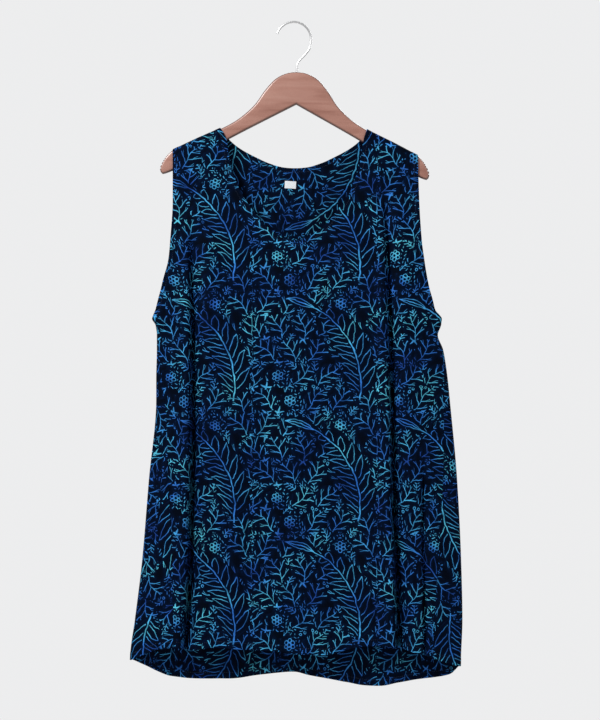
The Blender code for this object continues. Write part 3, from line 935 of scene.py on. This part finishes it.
def vector_of(x, y, z=0.0):
    """A vector output from two Wires and a plain number."""
    return add_node(x.tree, "CombineXYZ", {"X": x.socket, "Y": y.socket, "Z": z}).outputs["Vector"]


def parts_of(vector, kind="SeparateXYZ"):
    """The three parts of a vector, or of a colour, as Wires."""
    tree = vector.id_data
    return [Wire(output) for output in add_node(tree, kind, {0: vector}).outputs]


def length_of(x, y):
    """The distance of a place from the origin."""
    return sum_of("SQRT", x * x + y * y)


def turned(x, y, angle):
    """x and y in axes turned by an angle, which may differ from place to place."""
    spin = {"Vector": vector_of(x, y), "Angle": angle.socket}
    return parts_of(add_node(x.tree, "VectorRotate", spin, rotation_type="Z_AXIS").outputs["Vector"])[:2]


def dice(x, y, seed):
    """Three even random numbers from 0 to 1 for each pair of whole numbers."""
    rolls = add_node(x.tree, "TexWhiteNoise", {"Vector": vector_of(x, y, seed)})
    return parts_of(rolls.outputs["Color"], "SeparateColor")


def cell_of(x, pitch):
    """The number of the cell that a place is in, and the place measured from that cell's middle."""
    number = sum_of("FLOOR", x * (1 / pitch))
    return number, x - number * pitch - pitch / 2


# %% The fern frond
BLOCK = (187.0, 181.0)
FROND_CENTRE = (-62.0, -50.0)
FROND_RADIUS = 130.0
FROND_FOOT = -14.0
FROND_LAST_LEAF = 132.0
FROND_TIP = 186.0
TIP_START = 140.0
TIP_BELLY = 4.2
STEM_HALF = 0.5
LEAF_PITCH = 22.5
LEAF_LENGTH = 31.0
LEAF_WIDTH = 6.0
LEAF_SLANT = math.radians(50)
LEAF_BOW = 0.006
LEAF_BODY = (0.62, 1.5, -2.12)
INNER_CROWDING = 0.32
INNER_THINNING = 1.2
OFF_STEM = 3.2
PAST_LAST_LEAF = 26
LENGTH_LOSS = 0.010


def frond(x, y):
    """Distance in mm to the lines of the frond, and the depth of a place inside its leafy zone."""
    from_x = x - FROND_CENTRE[0]
    from_y = y - FROND_CENTRE[1]
    along = sum_of("ARCTAN2", from_y, from_x) * FROND_RADIUS
    side = length_of(from_x, from_y) - FROND_RADIUS
    out = abs(side)
    root = along - out * (1 / math.tan(LEAF_SLANT)) - out * out * LEAF_BOW
    inside = sum_of("LESS_THAN", side, 0.0)
    crowding = inside * INNER_CROWDING + 1
    near = (root * crowding).wrapped(LEAF_PITCH / 2) / crowding
    reach = ((FROND_LAST_LEAF + PAST_LAST_LEAF - root) * LENGTH_LOSS).clamped() * LEAF_LENGTH
    up_leaf = out * (1 / math.sin(LEAF_SLANT))
    share = (up_leaf / (reach + 0.01)).clamped()
    body = share * LEAF_BODY[1] + LEAF_BODY[0] + share * share * LEAF_BODY[2]
    half = body * (LEAF_WIDTH - inside * INNER_THINNING)
    leaf = abs(abs(near) * math.sin(LEAF_SLANT) - half)
    past_ends = most(up_leaf - reach, OFF_STEM - out, FROND_FOOT - root, root - FROND_LAST_LEAF)
    leaves = most(leaf, past_ends * 1.4)
    stem = most(out * (1 + along * 0.003) - STEM_HALF, FROND_FOOT - 8 - along, along - FROND_TIP)
    tip_share = ((along - TIP_START) * (1 / (FROND_TIP - TIP_START))).clamped()
    belly = sum_of("SINE", tip_share * math.pi) * TIP_BELLY
    tip = most(abs(out - belly), TIP_START - along, along - FROND_TIP)
    zone = least(reach * 0.78 - out, root - FROND_FOOT + 4, FROND_TIP + 4 - along)
    bare = least(6.5 - out, along - FROND_LAST_LEAF, FROND_TIP - along)
    return least(leaves, stem, tip), most(zone, bare)


# %% Sprigs, fir twigs, flowers, stars and dashes
SPRIG_PITCH = 6.0
SPRIG_HALF = 19.0
SPRIG_ROUND = 18.4
FIR_PITCH = 2.6
FIR_HALF = 12.0
FIR_ROUND = 13.0
STAR_ARM = 8.2
STAR_ARM_HALF = 1.3


def sprig(x, y, radius, lean):
    """A forked twig about 38 mm tall: a wavy stem, curved branches to both sides by turns, a fork on each."""
    across = x - sum_of("SINE", y * 0.16 + lean * 6.0) * 2.2
    out = abs(across)
    shift = sum_of("SIGN", across) * 3.0
    climb = y - out * (1.05 - lean * 0.6) + out * out * (0.5 - lean) * 0.07 + shift
    near = climb.wrapped(SPRIG_PITCH)
    reach = 17.5 - abs(climb - near) * 0.40
    stem = most(out, abs(y) - SPRIG_HALF)
    branch = most(abs(near) * 0.74, out - reach)
    fork = most(abs(out - 7.0 - near * 0.9), 0.0 - near, near - 4.0, out - reach)
    return most(least(stem, branch, fork), radius - SPRIG_ROUND)


def fir(x, y, radius, lean):
    """A curved twig about 24 mm tall with short needles."""
    across = x - y * y * 0.02 * (lean + 0.4) + 1.5
    out = abs(across)
    near = (y - out * 0.8).wrapped(FIR_PITCH)
    needles = most(abs(near) * 0.78, out - 5.0)
    return most(least(out, needles), abs(y) - FIR_HALF, radius - FIR_ROUND)


def petals(x, y, radius, lean, number, away, size):
    """Small rings in a ring."""
    petal = (sum_of("ARCTAN2", y, x) + lean).wrapped(math.pi / number)
    across = sum_of("COSINE", petal) * radius - away
    beside = sum_of("SINE", petal) * radius
    return abs(length_of(across, beside) - size)


def ring_flower(x, y, radius, lean):
    """Six small rings round a seventh, with a few short strokes beside them."""
    strokes = most(dashes(x, y, 6.0), 10.5 - radius, radius - 17.4, lean * 12.0 - 8.0 - x)
    return least(petals(x, y, radius, lean, 6, 5.6, 2.5), abs(radius - 2.4), strokes)


def berries(x, y, radius, lean):
    """Three small rings."""
    return petals(x, y, radius, lean * 3.0, 3, 3.8, 1.7)


def star(x, y, radius, lean):
    """Five thin pointed arms."""
    petal = (sum_of("ARCTAN2", y, x) + lean * 4.0).wrapped(math.pi / 5)
    return most(abs(petal) * radius - STAR_ARM_HALF + radius * 0.16, radius - STAR_ARM)


def dashes(x, y, pitch):
    """Short strokes, one in each small cell, each turned its own way."""
    cell_x, local_x = cell_of(x, pitch)
    cell_y, local_y = cell_of(y, pitch)
    first, second, _ = dice(cell_x, cell_y, 5.0)
    along, beside = turned(local_x, local_y, first * 3.0 - 1.5)
    return most(abs(beside), abs(along) - 1.0 - second * 0.9)


# %% Fill the ground of a block with motifs, one to a cell
FAR = 40.0
MOTIF_SLIDE = 2.0
MOTIF_TURN = 2.3


def scatter(x, y, cell, seed, motifs):
    """Distance to the motifs of cells laid like bricks, and to the cell's middle. Each cell rolls dice for
    its motif, turn and place. The motifs are (function, lowest roll, highest roll)."""
    cell_y, local_y = cell_of(y, cell[1])
    bond = x + sum_of("FLOORED_MODULO", cell_y, 2.0) * (cell[0] / 2)
    cell_x, local_x = cell_of(bond, cell[0])
    kind, lean, slide = dice(cell_x, cell_y, seed)
    local_x = local_x + (slide - 0.5) * MOTIF_SLIDE
    local_y = local_y + (kind - 0.5) * MOTIF_SLIDE
    along, up = turned(local_x, local_y, (slide - 0.5) * MOTIF_TURN)
    radius = length_of(local_x, local_y)
    found = None
    for motif, low, high in motifs:
        missed = sum_of("GREATER_THAN", abs(kind - (low + high) / 2), (high - low) / 2)
        distance = motif(along, up, radius, lean) + missed * FAR
        found = distance if found is None else least(found, distance)
    return found, radius


# %% Put the block together
BLOCK_MIDDLE = (31.5, -855.5)
SLIP = 2.4
LINE = 0.24
WOBBLE = 6.0
WOBBLE_SCALE = 70.0
BIG_CELL = (37.4, 36.2)
BIG_MOTIFS = ((sprig, 0.0, 0.86), (ring_flower, 0.86, 1.0))
SMALL_CELL = (18.7, 18.1)
SMALL_MOTIFS = ((fir, 0.0, 0.42), (star, 0.42, 0.70), (berries, 0.70, 0.92))
SMALL_SHIFT = 9
CLEAR_OF_BIG = 3.4
CLEAR_OF_MIDDLE = 16.0
BLOCK_SEED, BIG_SEED, SMALL_SEED = 3, 14, 23


def cloth_map(tree):
    """The output that gives a place's spot on the flat printed cloth, in metres."""
    return add_node(tree, "UVMap", uv_map="print").outputs["UV"]


def block_print(tree):
    """The distance in mm to the nearest printed line, at each place of the cloth's own map."""
    spot = cloth_map(tree)
    wobbles = parts_of(noise(tree, spot, WOBBLE_SCALE).outputs["Color"], "SeparateColor")
    numbers, places = [], []
    for axis, wobble, middle, size in zip(parts_of(spot), wobbles, BLOCK_MIDDLE, BLOCK):
        number, place = cell_of(axis * 1000 + (wobble - 0.5) * WOBBLE - (middle - size / 2), size)
        numbers.append(number)
        places.append(place)
    x, y = (place + (slip - 0.5) * SLIP for place, slip in zip(places, dice(*numbers, BLOCK_SEED)))
    fern, leafy = frond(x, y)
    corner_x, corner_y = x + BLOCK[0] / 2, y + BLOCK[1] / 2
    big, big_radius = scatter(corner_x, corner_y, BIG_CELL, BIG_SEED, BIG_MOTIFS)
    small, _ = scatter(corner_x + SMALL_SHIFT, corner_y + SMALL_SHIFT, SMALL_CELL, SMALL_SEED, SMALL_MOTIFS)
    small_apart = most(small, CLEAR_OF_BIG - big, CLEAR_OF_MIDDLE - big_radius)
    filler = least(big, small_apart) + (leafy * 2.0 + 0.6).clamped() * FAR
    return least(fern, filler)


# %% [markdown]
# ## Dye and weave
#
# Up close the print is uneven. Its lines swell and thin, the dye is weaker where the block pressed less,
# and the blue drifts from royal to teal within a hand's width. The black ground has a navy bloom beside
# each line. Noises on the cloth's own map, some slow and some quick, drive all of these, and two crossed
# wave textures raise the weave. The inside of the cloth shows the print a little paler.

# %% The cloth's material
BLUES = {
    "at": (0.30, 0.44, 0.56, 0.70),
    "colour": ((0.018, 0.070, 0.340), (0.034, 0.190, 0.640), (0.070, 0.430, 0.800), (0.110, 0.600, 0.800)),
}
GROUND = (0.0006, 0.0022, 0.0070, 1.0)
BLOOM = (0.0010, 0.0100, 0.0460, 1.0)
BLOOM_FALL = 0.50
BLOOM_SHARE = 0.70
LINE_CRISPNESS = 2.8
INSIDE_STRENGTH = 0.85
THREADS = 420.0


def colour_ramp(tree, share, stops, colours):
    """Colours at stops along a number, blended between them."""
    ramp = add_node(tree, "ValToRGB", {"Fac": share})
    elements = ramp.color_ramp.elements
    while len(elements) < len(stops):
        elements.new(0.5)
    for element, at, colour in zip(elements, stops, colours):
        element.position = at
        element.color = (*colour, 1.0)
    return ramp.outputs["Color"]


def bumped(tree, shader, height, strength, distance):
    """Let an output raise the surface that the light sees."""
    bump = add_node(tree, "Bump", {"Strength": strength, "Distance": distance, "Height": height})
    tree.links.new(bump.outputs["Normal"], shader.inputs["Normal"])


def cloth_noise(tree, scale, detail):
    """A noise on the cloth's own map, as a Wire."""
    return Wire(noise(tree, cloth_map(tree), scale, detail).outputs["Fac"])


def weave(tree):
    """The height of fine threads both ways, from two wave textures on the cloth's map."""
    threads = {"Vector": cloth_map(tree), "Scale": THREADS, "Distortion": 1.2, "Detail Scale": 0.3}
    warp = Wire(add_node(tree, "TexWave", threads, bands_direction="X").outputs["Fac"])
    weft = Wire(add_node(tree, "TexWave", threads, bands_direction="Y").outputs["Fac"])
    return (warp + weft).socket


def printed_cloth(name, strength):
    """Near-black cloth with the blue print, at full strength outside and a little less inside."""
    material, tree, shader = new_material(name, {"Roughness": 0.62, "Specular IOR Level": 0.02})
    distance = block_print(tree)
    wander = cloth_noise(tree, 330.0, 2.0)
    patch = cloth_noise(tree, 19.0, 1.0)
    pressure = cloth_noise(tree, 75.0, 2.0)
    width = (wander * 0.9 + 0.55) * LINE
    line = (1.0 - (distance - width) * LINE_CRISPNESS).clamped() * (pressure * 1.9 - 0.15).clamped()
    bloom = sum_of("EXPONENT", distance * -BLOOM_FALL) * BLOOM_SHARE
    blues = colour_ramp(tree, patch.socket, BLUES["at"], BLUES["colour"])
    ground = mix_colours(tree, bloom.socket, GROUND, BLOOM)
    feed(tree, mix_colours(tree, (line * strength).socket, ground, blues), shader.inputs["Base Color"])
    bumped(tree, shader, weave(tree), 0.12, 0.2 * MM)
    return material


outside_cloth = printed_cloth("printed cloth", 1.0)
inside_cloth = printed_cloth("printed cloth inside", INSIDE_STRENGTH)
for sheet_of_cloth in (front_cloth, back_cloth):
    sheet_of_cloth.data.materials.append(outside_cloth)
    sheet_of_cloth.data.materials.append(inside_cloth)
    give_wall(sheet_of_cloth)
print("nodes in the print:", len(outside_cloth.node_tree.nodes))

# %% [markdown]
# ## Sewing
#
# The neck, the armholes and the hems are turned over and held by a row of machine stitches. One stitch is a
# small bead of thread, pulled long. It is modelled once, and its copies are laid along each edge, at a
# steady pitch, on both faces of the cloth, where a real seam shows its upper and its lower thread.

# %% Model one stitch
STITCH_PITCH = 2.9 * MM
STITCH_LENGTH = 2.1 * MM
THREAD = 0.42 * MM
SUNK = 0.05 * MM

bpy.ops.object.select_all(action="DESELECT")
bpy.ops.mesh.primitive_uv_sphere_add(segments=6, ring_count=4, radius=0.5)
one_stitch = bpy.context.object
bpy.ops.object.mode_set(mode="EDIT")
bpy.ops.mesh.select_all(action="SELECT")
bpy.ops.transform.rotate(value=math.pi / 2, orient_axis="Y", center_override=(0, 0, 0))
bpy.ops.transform.resize(value=(STITCH_LENGTH, THREAD, THREAD))
bpy.ops.object.mode_set(mode="OBJECT")
stitch_points = np.array([vertex.co for vertex in one_stitch.data.vertices])
stitch_faces = [list(face.vertices) for face in one_stitch.data.polygons]
bpy.data.objects.remove(one_stitch, do_unlink=True)
print("one stitch has", len(stitch_faces), "faces")


# %% Lay stitches along a line on the cloth
STEP = 1e-5


def outward(side, run, drop):
    """The direction out of the cloth, from two short steps along its surface."""
    here = layer(side, run, drop)
    inward = np.where(run < girth(drop) / 2, 1, -1)
    across = layer(side, run + STEP * inward, drop) - here
    down = layer(side, run, drop + STEP) - here
    normal = np.cross(across, down) * (side * inward)[..., None]
    return normal / np.linalg.norm(normal, axis=-1, keepdims=True)


def stitch_line(side, x, drop):
    """Places, directions along the line and outward directions at a steady pitch along a line on a layer."""
    points = layer(side, run_at(x, drop), drop)
    lengths = np.concatenate([[0], np.cumsum(np.linalg.norm(np.diff(points, axis=0), axis=1))])
    at = np.arange(STITCH_PITCH, lengths[-1] - STITCH_PITCH / 2, STITCH_PITCH)
    xs = np.interp(at, lengths, x)
    drops = np.interp(at, lengths, drop)
    places = layer(side, run_at(xs, drops), drops)
    along = np.gradient(places, axis=0)
    along /= np.linalg.norm(along, axis=1, keepdims=True)
    return places, along, outward(side, run_at(xs, drops), drops)


def stitches(name, lines, material):
    """One piece of all the stitches along some lines, on both faces of the cloth."""
    all_points, all_faces = [], []
    count = 0
    for places, along, out in lines:
        beside = np.cross(out, along)
        for face in (-1, 1):
            lifted = places + out * face * (CLOTH / 2 - SUNK)
            for place, a, b, c in zip(lifted, along, beside, out):
                all_points.append(place + stitch_points @ np.stack([a, b, c]))
                all_faces += [[number + count for number in corners] for corners in stitch_faces]
                count += len(stitch_points)
    thing = new_piece(name, np.concatenate(all_points), all_faces)
    thing.data.shade_smooth()
    thing.data.materials.append(material)
    print(name, "has", len(all_faces) // len(stitch_faces), "stitches")
    return thing


# %% The lines that are sewn
NECK_STITCH = 6.0 * MM
ARM_STITCH = 6.0 * MM
HEM_STITCH = 9.0 * MM
SEAM_CLEAR = 2 * MM
LINE_STEPS = 500
NAVY = ((0.0100, 0.0180, 0.0500, 1.0), (0.0055, 0.0099, 0.0275, 1.0))


def neck_line(side, table):
    """The neck edge moved in to its stitches."""
    _, x, drop = neck_path(table)
    step_x, step_drop = np.gradient(x), np.gradient(drop)
    length = np.hypot(step_x, step_drop)
    moved_x = x - step_drop / length * NECK_STITCH
    moved_drop = drop + step_x / length * NECK_STITCH
    on_cloth = moved_drop > shoulder_line(moved_x) + 1 * MM
    return stitch_line(side, moved_x[on_cloth], moved_drop[on_cloth])


def arm_line(side, hand):
    """Down an armhole, from the shoulder to the armpit. The hand is 0 for the left and 1 for the right."""
    drop = np.linspace(SHOULDER_TIP_DROP + 6 * MM, ARMPIT_DROP - 3 * MM, LINE_STEPS)
    x = edges(drop)[hand] + (ARM_STITCH if hand == 0 else -ARM_STITCH)
    return stitch_line(side, x, drop)


def hem_line(side, table, low, high):
    """Along a hem, from just past one seam to just short of the next."""
    x = np.linspace(low + SEAM_CLEAR, high - SEAM_CLEAR, LINE_STEPS)
    return stitch_line(side, x, hem_drop(x, table) - HEM_STITCH)


# %% Sew the front and the back
navy_thread = uneven_material("navy thread", 260.0, *NAVY, {"Roughness": 0.45})
seam_left, seam_right = (float(x_along(run_from(hand, side_seam(HEM_LEVEL, hand), HEM_LEVEL), HEM_LEVEL))
                         for hand in ("left", "right"))
front_stitches = stitches("front_stitches", [
    neck_line(-1, FRONT_NECK),
    arm_line(-1, 0),
    arm_line(-1, 1),
    hem_line(-1, FRONT_HEM, seam_left, seam_right),
], navy_thread)
back_left, back_right = edges(HEM_LEVEL)
back_stitches = stitches("back_stitches", [
    neck_line(1, BACK_NECK),
    arm_line(1, 0),
    arm_line(1, 1),
    hem_line(1, BACK_HEM, back_left, back_right),
    hem_line(-1, FRONT_HEM, back_left, seam_left),
    hem_line(-1, FRONT_HEM, seam_right, back_right),
], navy_thread)

# %% [markdown]
# ## The label
#
# A small woven tape label lies on the inside of the back, under the neck. It is a grid, laid on the back's
# own surface, turned a little and curved outward by a hair between its two ends. It is left bare.

# %% Lay the label on the back
LABEL_SIZE = (17.0 * MM, 11.0 * MM)
LABEL_PLACE = (-5.0 * MM, 242.0 * MM)
LABEL_TURN = np.radians(-3.5)
LABEL_OFF_CLOTH = 0.9 * MM
LABEL_WALL = 0.35 * MM
LABEL_CURVE = 0.3 * MM
TAPE_SHADES = ((0.66, 0.69, 0.72, 1.0), (0.78, 0.80, 0.82, 1.0))

bpy.ops.object.select_all(action="DESELECT")
bpy.ops.mesh.primitive_grid_add(x_subdivisions=22, y_subdivisions=14, size=1)
label = bpy.context.object
label.name = "label_tape"
for vertex in label.data.vertices:
    across, up = vertex.co.x * LABEL_SIZE[0], vertex.co.y * LABEL_SIZE[1]
    x = LABEL_PLACE[0] + across * math.cos(LABEL_TURN) - up * math.sin(LABEL_TURN)
    drop = LABEL_PLACE[1] - across * math.sin(LABEL_TURN) - up * math.cos(LABEL_TURN)
    place = layer(1, run_at(np.array([x]), np.array([drop])), np.array([drop]))[0]
    lift = LABEL_CURVE * (1 - (2 * vertex.co.x) ** 2)
    vertex.co = (x, place[1] - LABEL_OFF_CLOTH - lift, -drop)
select_only(label)
bpy.ops.object.mode_set(mode="EDIT")
bpy.ops.mesh.select_all(action="SELECT")
bpy.ops.mesh.normals_make_consistent(inside=False)
bpy.ops.object.mode_set(mode="OBJECT")
apply_modifier(label, "SOLIDIFY", thickness=LABEL_WALL, offset=0)
bpy.ops.object.shade_smooth_by_angle(angle=math.radians(40))

tape, tape_tree, tape_shader = new_material("label tape", {"Roughness": 0.5})
rib_place = {"Scale": 500.0, "Vector": object_place(tape_tree)}
ribs = add_node(tape_tree, "TexWave", rib_place, bands_direction="Z")
tape_tint = mix_colours(tape_tree, ribs.outputs["Fac"], *TAPE_SHADES)
feed(tape_tree, tape_tint, tape_shader.inputs["Base Color"])
bumped(tape_tree, tape_shader, ribs.outputs["Fac"], 0.3, 0.1 * MM)
label.data.materials.append(tape)
print("label at drop", round(LABEL_PLACE[1] / MM), "mm")

# %% [markdown]
# ## The wooden hanger
#
# The hanger is cut from a flat board, and all its edges are rounded with a router. So a ring of points is
# put on its outline, filled, drawn out to the board's thickness and bevelled. Near each tip, the upper edge
# has a row of small saw cuts that keep straps from slipping. They are cut with a Boolean.

# %% Draw the board
WOOD_THICK = 12.0 * MM
WOOD_EDGE = 3.6 * MM
EDGE_STEPS = 5
OUTLINE_STEPS = 130


def wood_outline():
    """Points round the hanger's outline: x and drop, right half first, then the left."""
    outs = WOOD_UPPER["out"] + WOOD_LOWER["out"]
    drops = WOOD_UPPER["drop"] + WOOD_LOWER["drop"]
    at = np.concatenate([[0], np.cumsum(np.hypot(np.diff(outs), np.diff(drops)))])
    path = {"at": at, "out": outs, "down": drops}
    fine = np.linspace(0, at[-1], OUTLINE_STEPS) * MM
    out = smooth(fine, path, "out", key="at")
    down = smooth(fine, path, "down", key="at")
    right_x, right_drop = hung(out, down)
    left_x, left_drop = hung(-out[::-1][1:-1], down[::-1][1:-1])
    return np.concatenate([right_x, left_x]), np.concatenate([right_drop, left_drop])


def bevel_rims(thing, chosen, width, steps, clamp=False):
    """Round off the rims of the faces that a test chooses. The piece is in edit mode before and after."""
    bpy.ops.mesh.select_mode(type="FACE")
    bpy.ops.mesh.select_all(action="DESELECT")
    bpy.ops.object.mode_set(mode="OBJECT")
    for face in thing.data.polygons:
        face.select = bool(chosen(face))
    bpy.ops.object.mode_set(mode="EDIT")
    bpy.ops.mesh.region_to_loop()
    bpy.ops.mesh.bevel(offset=width, segments=steps, profile=0.5, clamp_overlap=clamp)


outline_x, outline_drop = wood_outline()
bpy.ops.object.select_all(action="DESELECT")
bpy.ops.mesh.primitive_circle_add(vertices=len(outline_x), radius=0.1)
hanger = bpy.context.object
hanger.name = "wooden_hanger"
for vertex, x, drop in zip(hanger.data.vertices, outline_x, outline_drop):
    vertex.co = (x, -WOOD_THICK / 2, -drop)
bpy.ops.object.mode_set(mode="EDIT")
bpy.ops.mesh.select_all(action="SELECT")
bpy.ops.mesh.edge_face_add()
bpy.ops.mesh.extrude_region_move(TRANSFORM_OT_translate={"value": (0, WOOD_THICK, 0)})
bpy.ops.mesh.select_all(action="SELECT")
bpy.ops.mesh.normals_make_consistent(inside=False)
bevel_rims(hanger, lambda face: len(face.vertices) > 4, WOOD_EDGE, EDGE_STEPS)
bpy.ops.mesh.select_all(action="SELECT")
bpy.ops.mesh.quads_convert_to_tris(quad_method="BEAUTY", ngon_method="BEAUTY")
bpy.ops.object.mode_set(mode="OBJECT")
print("board:", len(hanger.data.polygons), "faces")

# %% Saw the grips near the tips
GRIPS = 9
GRIP_DEPTH = 1.8 * MM
GRIP_SPAN = (187.0, 201.4)


def tip_place(step, hand):
    """The place of one saw cut on a tip's upper edge."""
    out = np.linspace(*GRIP_SPAN, GRIPS)[step] * MM
    down = smooth(np.array([out]), WOOD_UPPER, "drop", key="out")[0]
    return hung(hand * out, down)


cutters = []
for hand in (-1, 1):
    for step in range(GRIPS):
        x, drop = tip_place(step, hand)
        bpy.ops.mesh.primitive_cylinder_add(vertices=3, radius=GRIP_DEPTH, depth=WOOD_THICK * 1.5,
                                            location=(x, 0, -drop), rotation=(math.pi / 2, 0, 0))
        cutters.append(bpy.context.object)
bpy.ops.object.select_all(action="DESELECT")
for cutter in cutters:
    cutter.select_set(True)
bpy.context.view_layer.objects.active = cutters[0]
bpy.ops.object.join()
saw = bpy.context.object
bpy.ops.object.transform_apply(location=True, rotation=True, scale=True)
apply_modifier(hanger, "BOOLEAN", operation="DIFFERENCE", object=saw)
bpy.data.objects.remove(saw, do_unlink=True)
bpy.ops.object.shade_smooth_by_angle(angle=math.radians(32))
print("hanger:", len(hanger.data.polygons), "faces")

# %% [markdown]
# ## Varnished wood
#
# The hanger is reddish brown under a thin gloss varnish. Its grain could be painted, but a noise that is
# stretched along the board gives it at any size, through three tones. Shade is painted on its rounded rim:
# darker where the rim faces down, and dark over all of the rim but a millimetre next to each face, which
# shows as a thin dark line round the outline. Sums on the piece's own place and normal find the rim, so it
# needs no mask.

# %% Varnish the wood
WOOD_STOPS = (0.25, 0.50, 0.78)
WOOD_TONES = ((0.275, 0.115, 0.083), (0.375, 0.180, 0.137), (0.440, 0.236, 0.187))
# The colour of the shade that is painted on the hanger's rim.
PAINTED_RIM_SHADE = (0.085, 0.032, 0.022, 1.0)
WOOD_STRETCH = (4.0, 30.0, 34.0)
RIM_SHADE_SHARE = 0.85
UNDER_REACH = 0.7 * MM
OUTER_SOFTNESS = 0.5 * MM
OUTER_START = 1.2

wood, wood_tree, wood_shader = new_material("varnished wood", {
    "Roughness": 0.38,
    "Coat Weight": 0.45,
    "Coat Roughness": 0.22,
})
wood_place = add_node(wood_tree, "TexCoord")
stretched = add_node(wood_tree, "Mapping", {"Vector": wood_place.outputs["Object"], "Scale": WOOD_STRETCH})
grain = noise(wood_tree, stretched.outputs["Vector"], 2.2, detail=6.0, distortion=0.8).outputs["Fac"]
tones = colour_ramp(wood_tree, grain, WOOD_STOPS, WOOD_TONES)
_, depth, _ = parts_of(wood_place.outputs["Object"])
_, _, facing_up = parts_of(wood_place.outputs["Normal"])
# Painted shade on the rim: darker where the rounded rim faces down, and a thin dark line along its outermost
# edge.
round_edge = WOOD_THICK / 2 - abs(depth)
under = (round_edge * (1 / UNDER_REACH)).clamped() * (facing_up * -0.9 + 0.30).clamped()
outer_edge_shade = (round_edge * (1 / OUTER_SOFTNESS) - OUTER_START).clamped()
rim_shade_share = (most(under, outer_edge_shade) * RIM_SHADE_SHARE).socket
feed(wood_tree, mix_colours(wood_tree, rim_shade_share, tones, PAINTED_RIM_SHADE), wood_shader.inputs["Base Color"])
bumped(wood_tree, wood_shader, grain, 0.15, 0.3 * MM)
hanger.data.materials.append(wood)

# %% [markdown]
# ## The hook
#
# The hook is one piece of polished steel wire: a round bend, an easy turn back to the middle and a straight
# stem that goes down into the wood. A Bezier curve with a round section bends as wire does. It is made a
# mesh, and the rim of its free end is bevelled until the tip is round.

# %% Bend the wire
WIRE = 3.2 * MM
HOOK_RADIUS = 26.0 * MM
HOOK_ARC = (161, -15)
HOOK_STEPS = 12
HOOK_STEM = ((23.8, 38), (19.6, 44.4), (14.2, 50.7), (9.2, 55.5), (6.3, 60.5), (5.2, 66), (5, 73.7))
WIRE_SIDES = 8
TIP_ROUNDING = 0.42

middle_drop = HOOK_RADIUS - WIRE / 2
route = [(HOOK_RADIUS * math.cos(angle), middle_drop - HOOK_RADIUS * math.sin(angle))
         for angle in np.radians(np.linspace(*HOOK_ARC, HOOK_STEPS))]
route += [(x * MM, drop * MM) for x, drop in HOOK_STEM]
bpy.ops.object.select_all(action="DESELECT")
bpy.ops.curve.primitive_bezier_curve_add()
hook = bpy.context.object
hook.name = "wire_hook"
wire = hook.data.splines[0]
wire.bezier_points.add(len(route) - 2)
for point, (x, drop) in zip(wire.bezier_points, route):
    point.co = (x, 0, -drop)
    point.handle_left_type = "AUTO"
    point.handle_right_type = "AUTO"
wire.resolution_u = 6
hook.data.bevel_depth = WIRE / 2
hook.data.bevel_resolution = WIRE_SIDES
hook.data.use_fill_caps = True
bpy.ops.object.convert(target="MESH")
bpy.ops.object.mode_set(mode="EDIT")
bpy.ops.mesh.select_all(action="SELECT")
bpy.ops.mesh.remove_doubles(threshold=0.00001)
bpy.ops.mesh.normals_make_consistent(inside=False)
tip = np.array([route[0][0], 0, -route[0][1]])
bevel_rims(hook, lambda face: np.linalg.norm(np.array(face.center) - tip) < WIRE / 4,
           width=WIRE * TIP_ROUNDING, steps=5, clamp=True)
bpy.ops.object.mode_set(mode="OBJECT")
bpy.ops.object.shade_smooth_by_angle(angle=math.radians(50))
print("hook:", len(hook.data.polygons), "faces")

# %% [markdown]
# ## Polished steel
#
# Bright wire mirrors the room, so most of its look comes from the lamps. A little roughness and a shade
# that hardly wanders keep it from being a perfect mirror, which would look unreal.

# %% Polish the hook
STEEL = ((0.76, 0.76, 0.77, 1.0), (0.84, 0.84, 0.84, 1.0))

steel = uneven_material("polished steel", 400.0, *STEEL, {"Metallic": 1.0, "Roughness": 0.38})
hook.data.materials.append(steel)
print("the hook is", hook.data.materials[0].name)

# %% [markdown]
# ## Hang every piece on its body
#
# The frame has one body, called root, and every piece rides on it. A new piece hides the plain solid that
# it stands for.

# %% Ride and replace
PIECES = (
    (front_cloth, "front", "printed_cloth"),
    (back_cloth, "back", "printed_cloth"),
    (label, "label", "label_tape"),
    (hanger, "hanger", "varnished_wood"),
    (hook, "hook", "polished_wire"),
    (front_stitches, None, "printed_cloth"),
    (back_stitches, None, "printed_cloth"),
)
for piece, node, slot in PIECES:
    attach(piece, "root")
    if node:
        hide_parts(node)
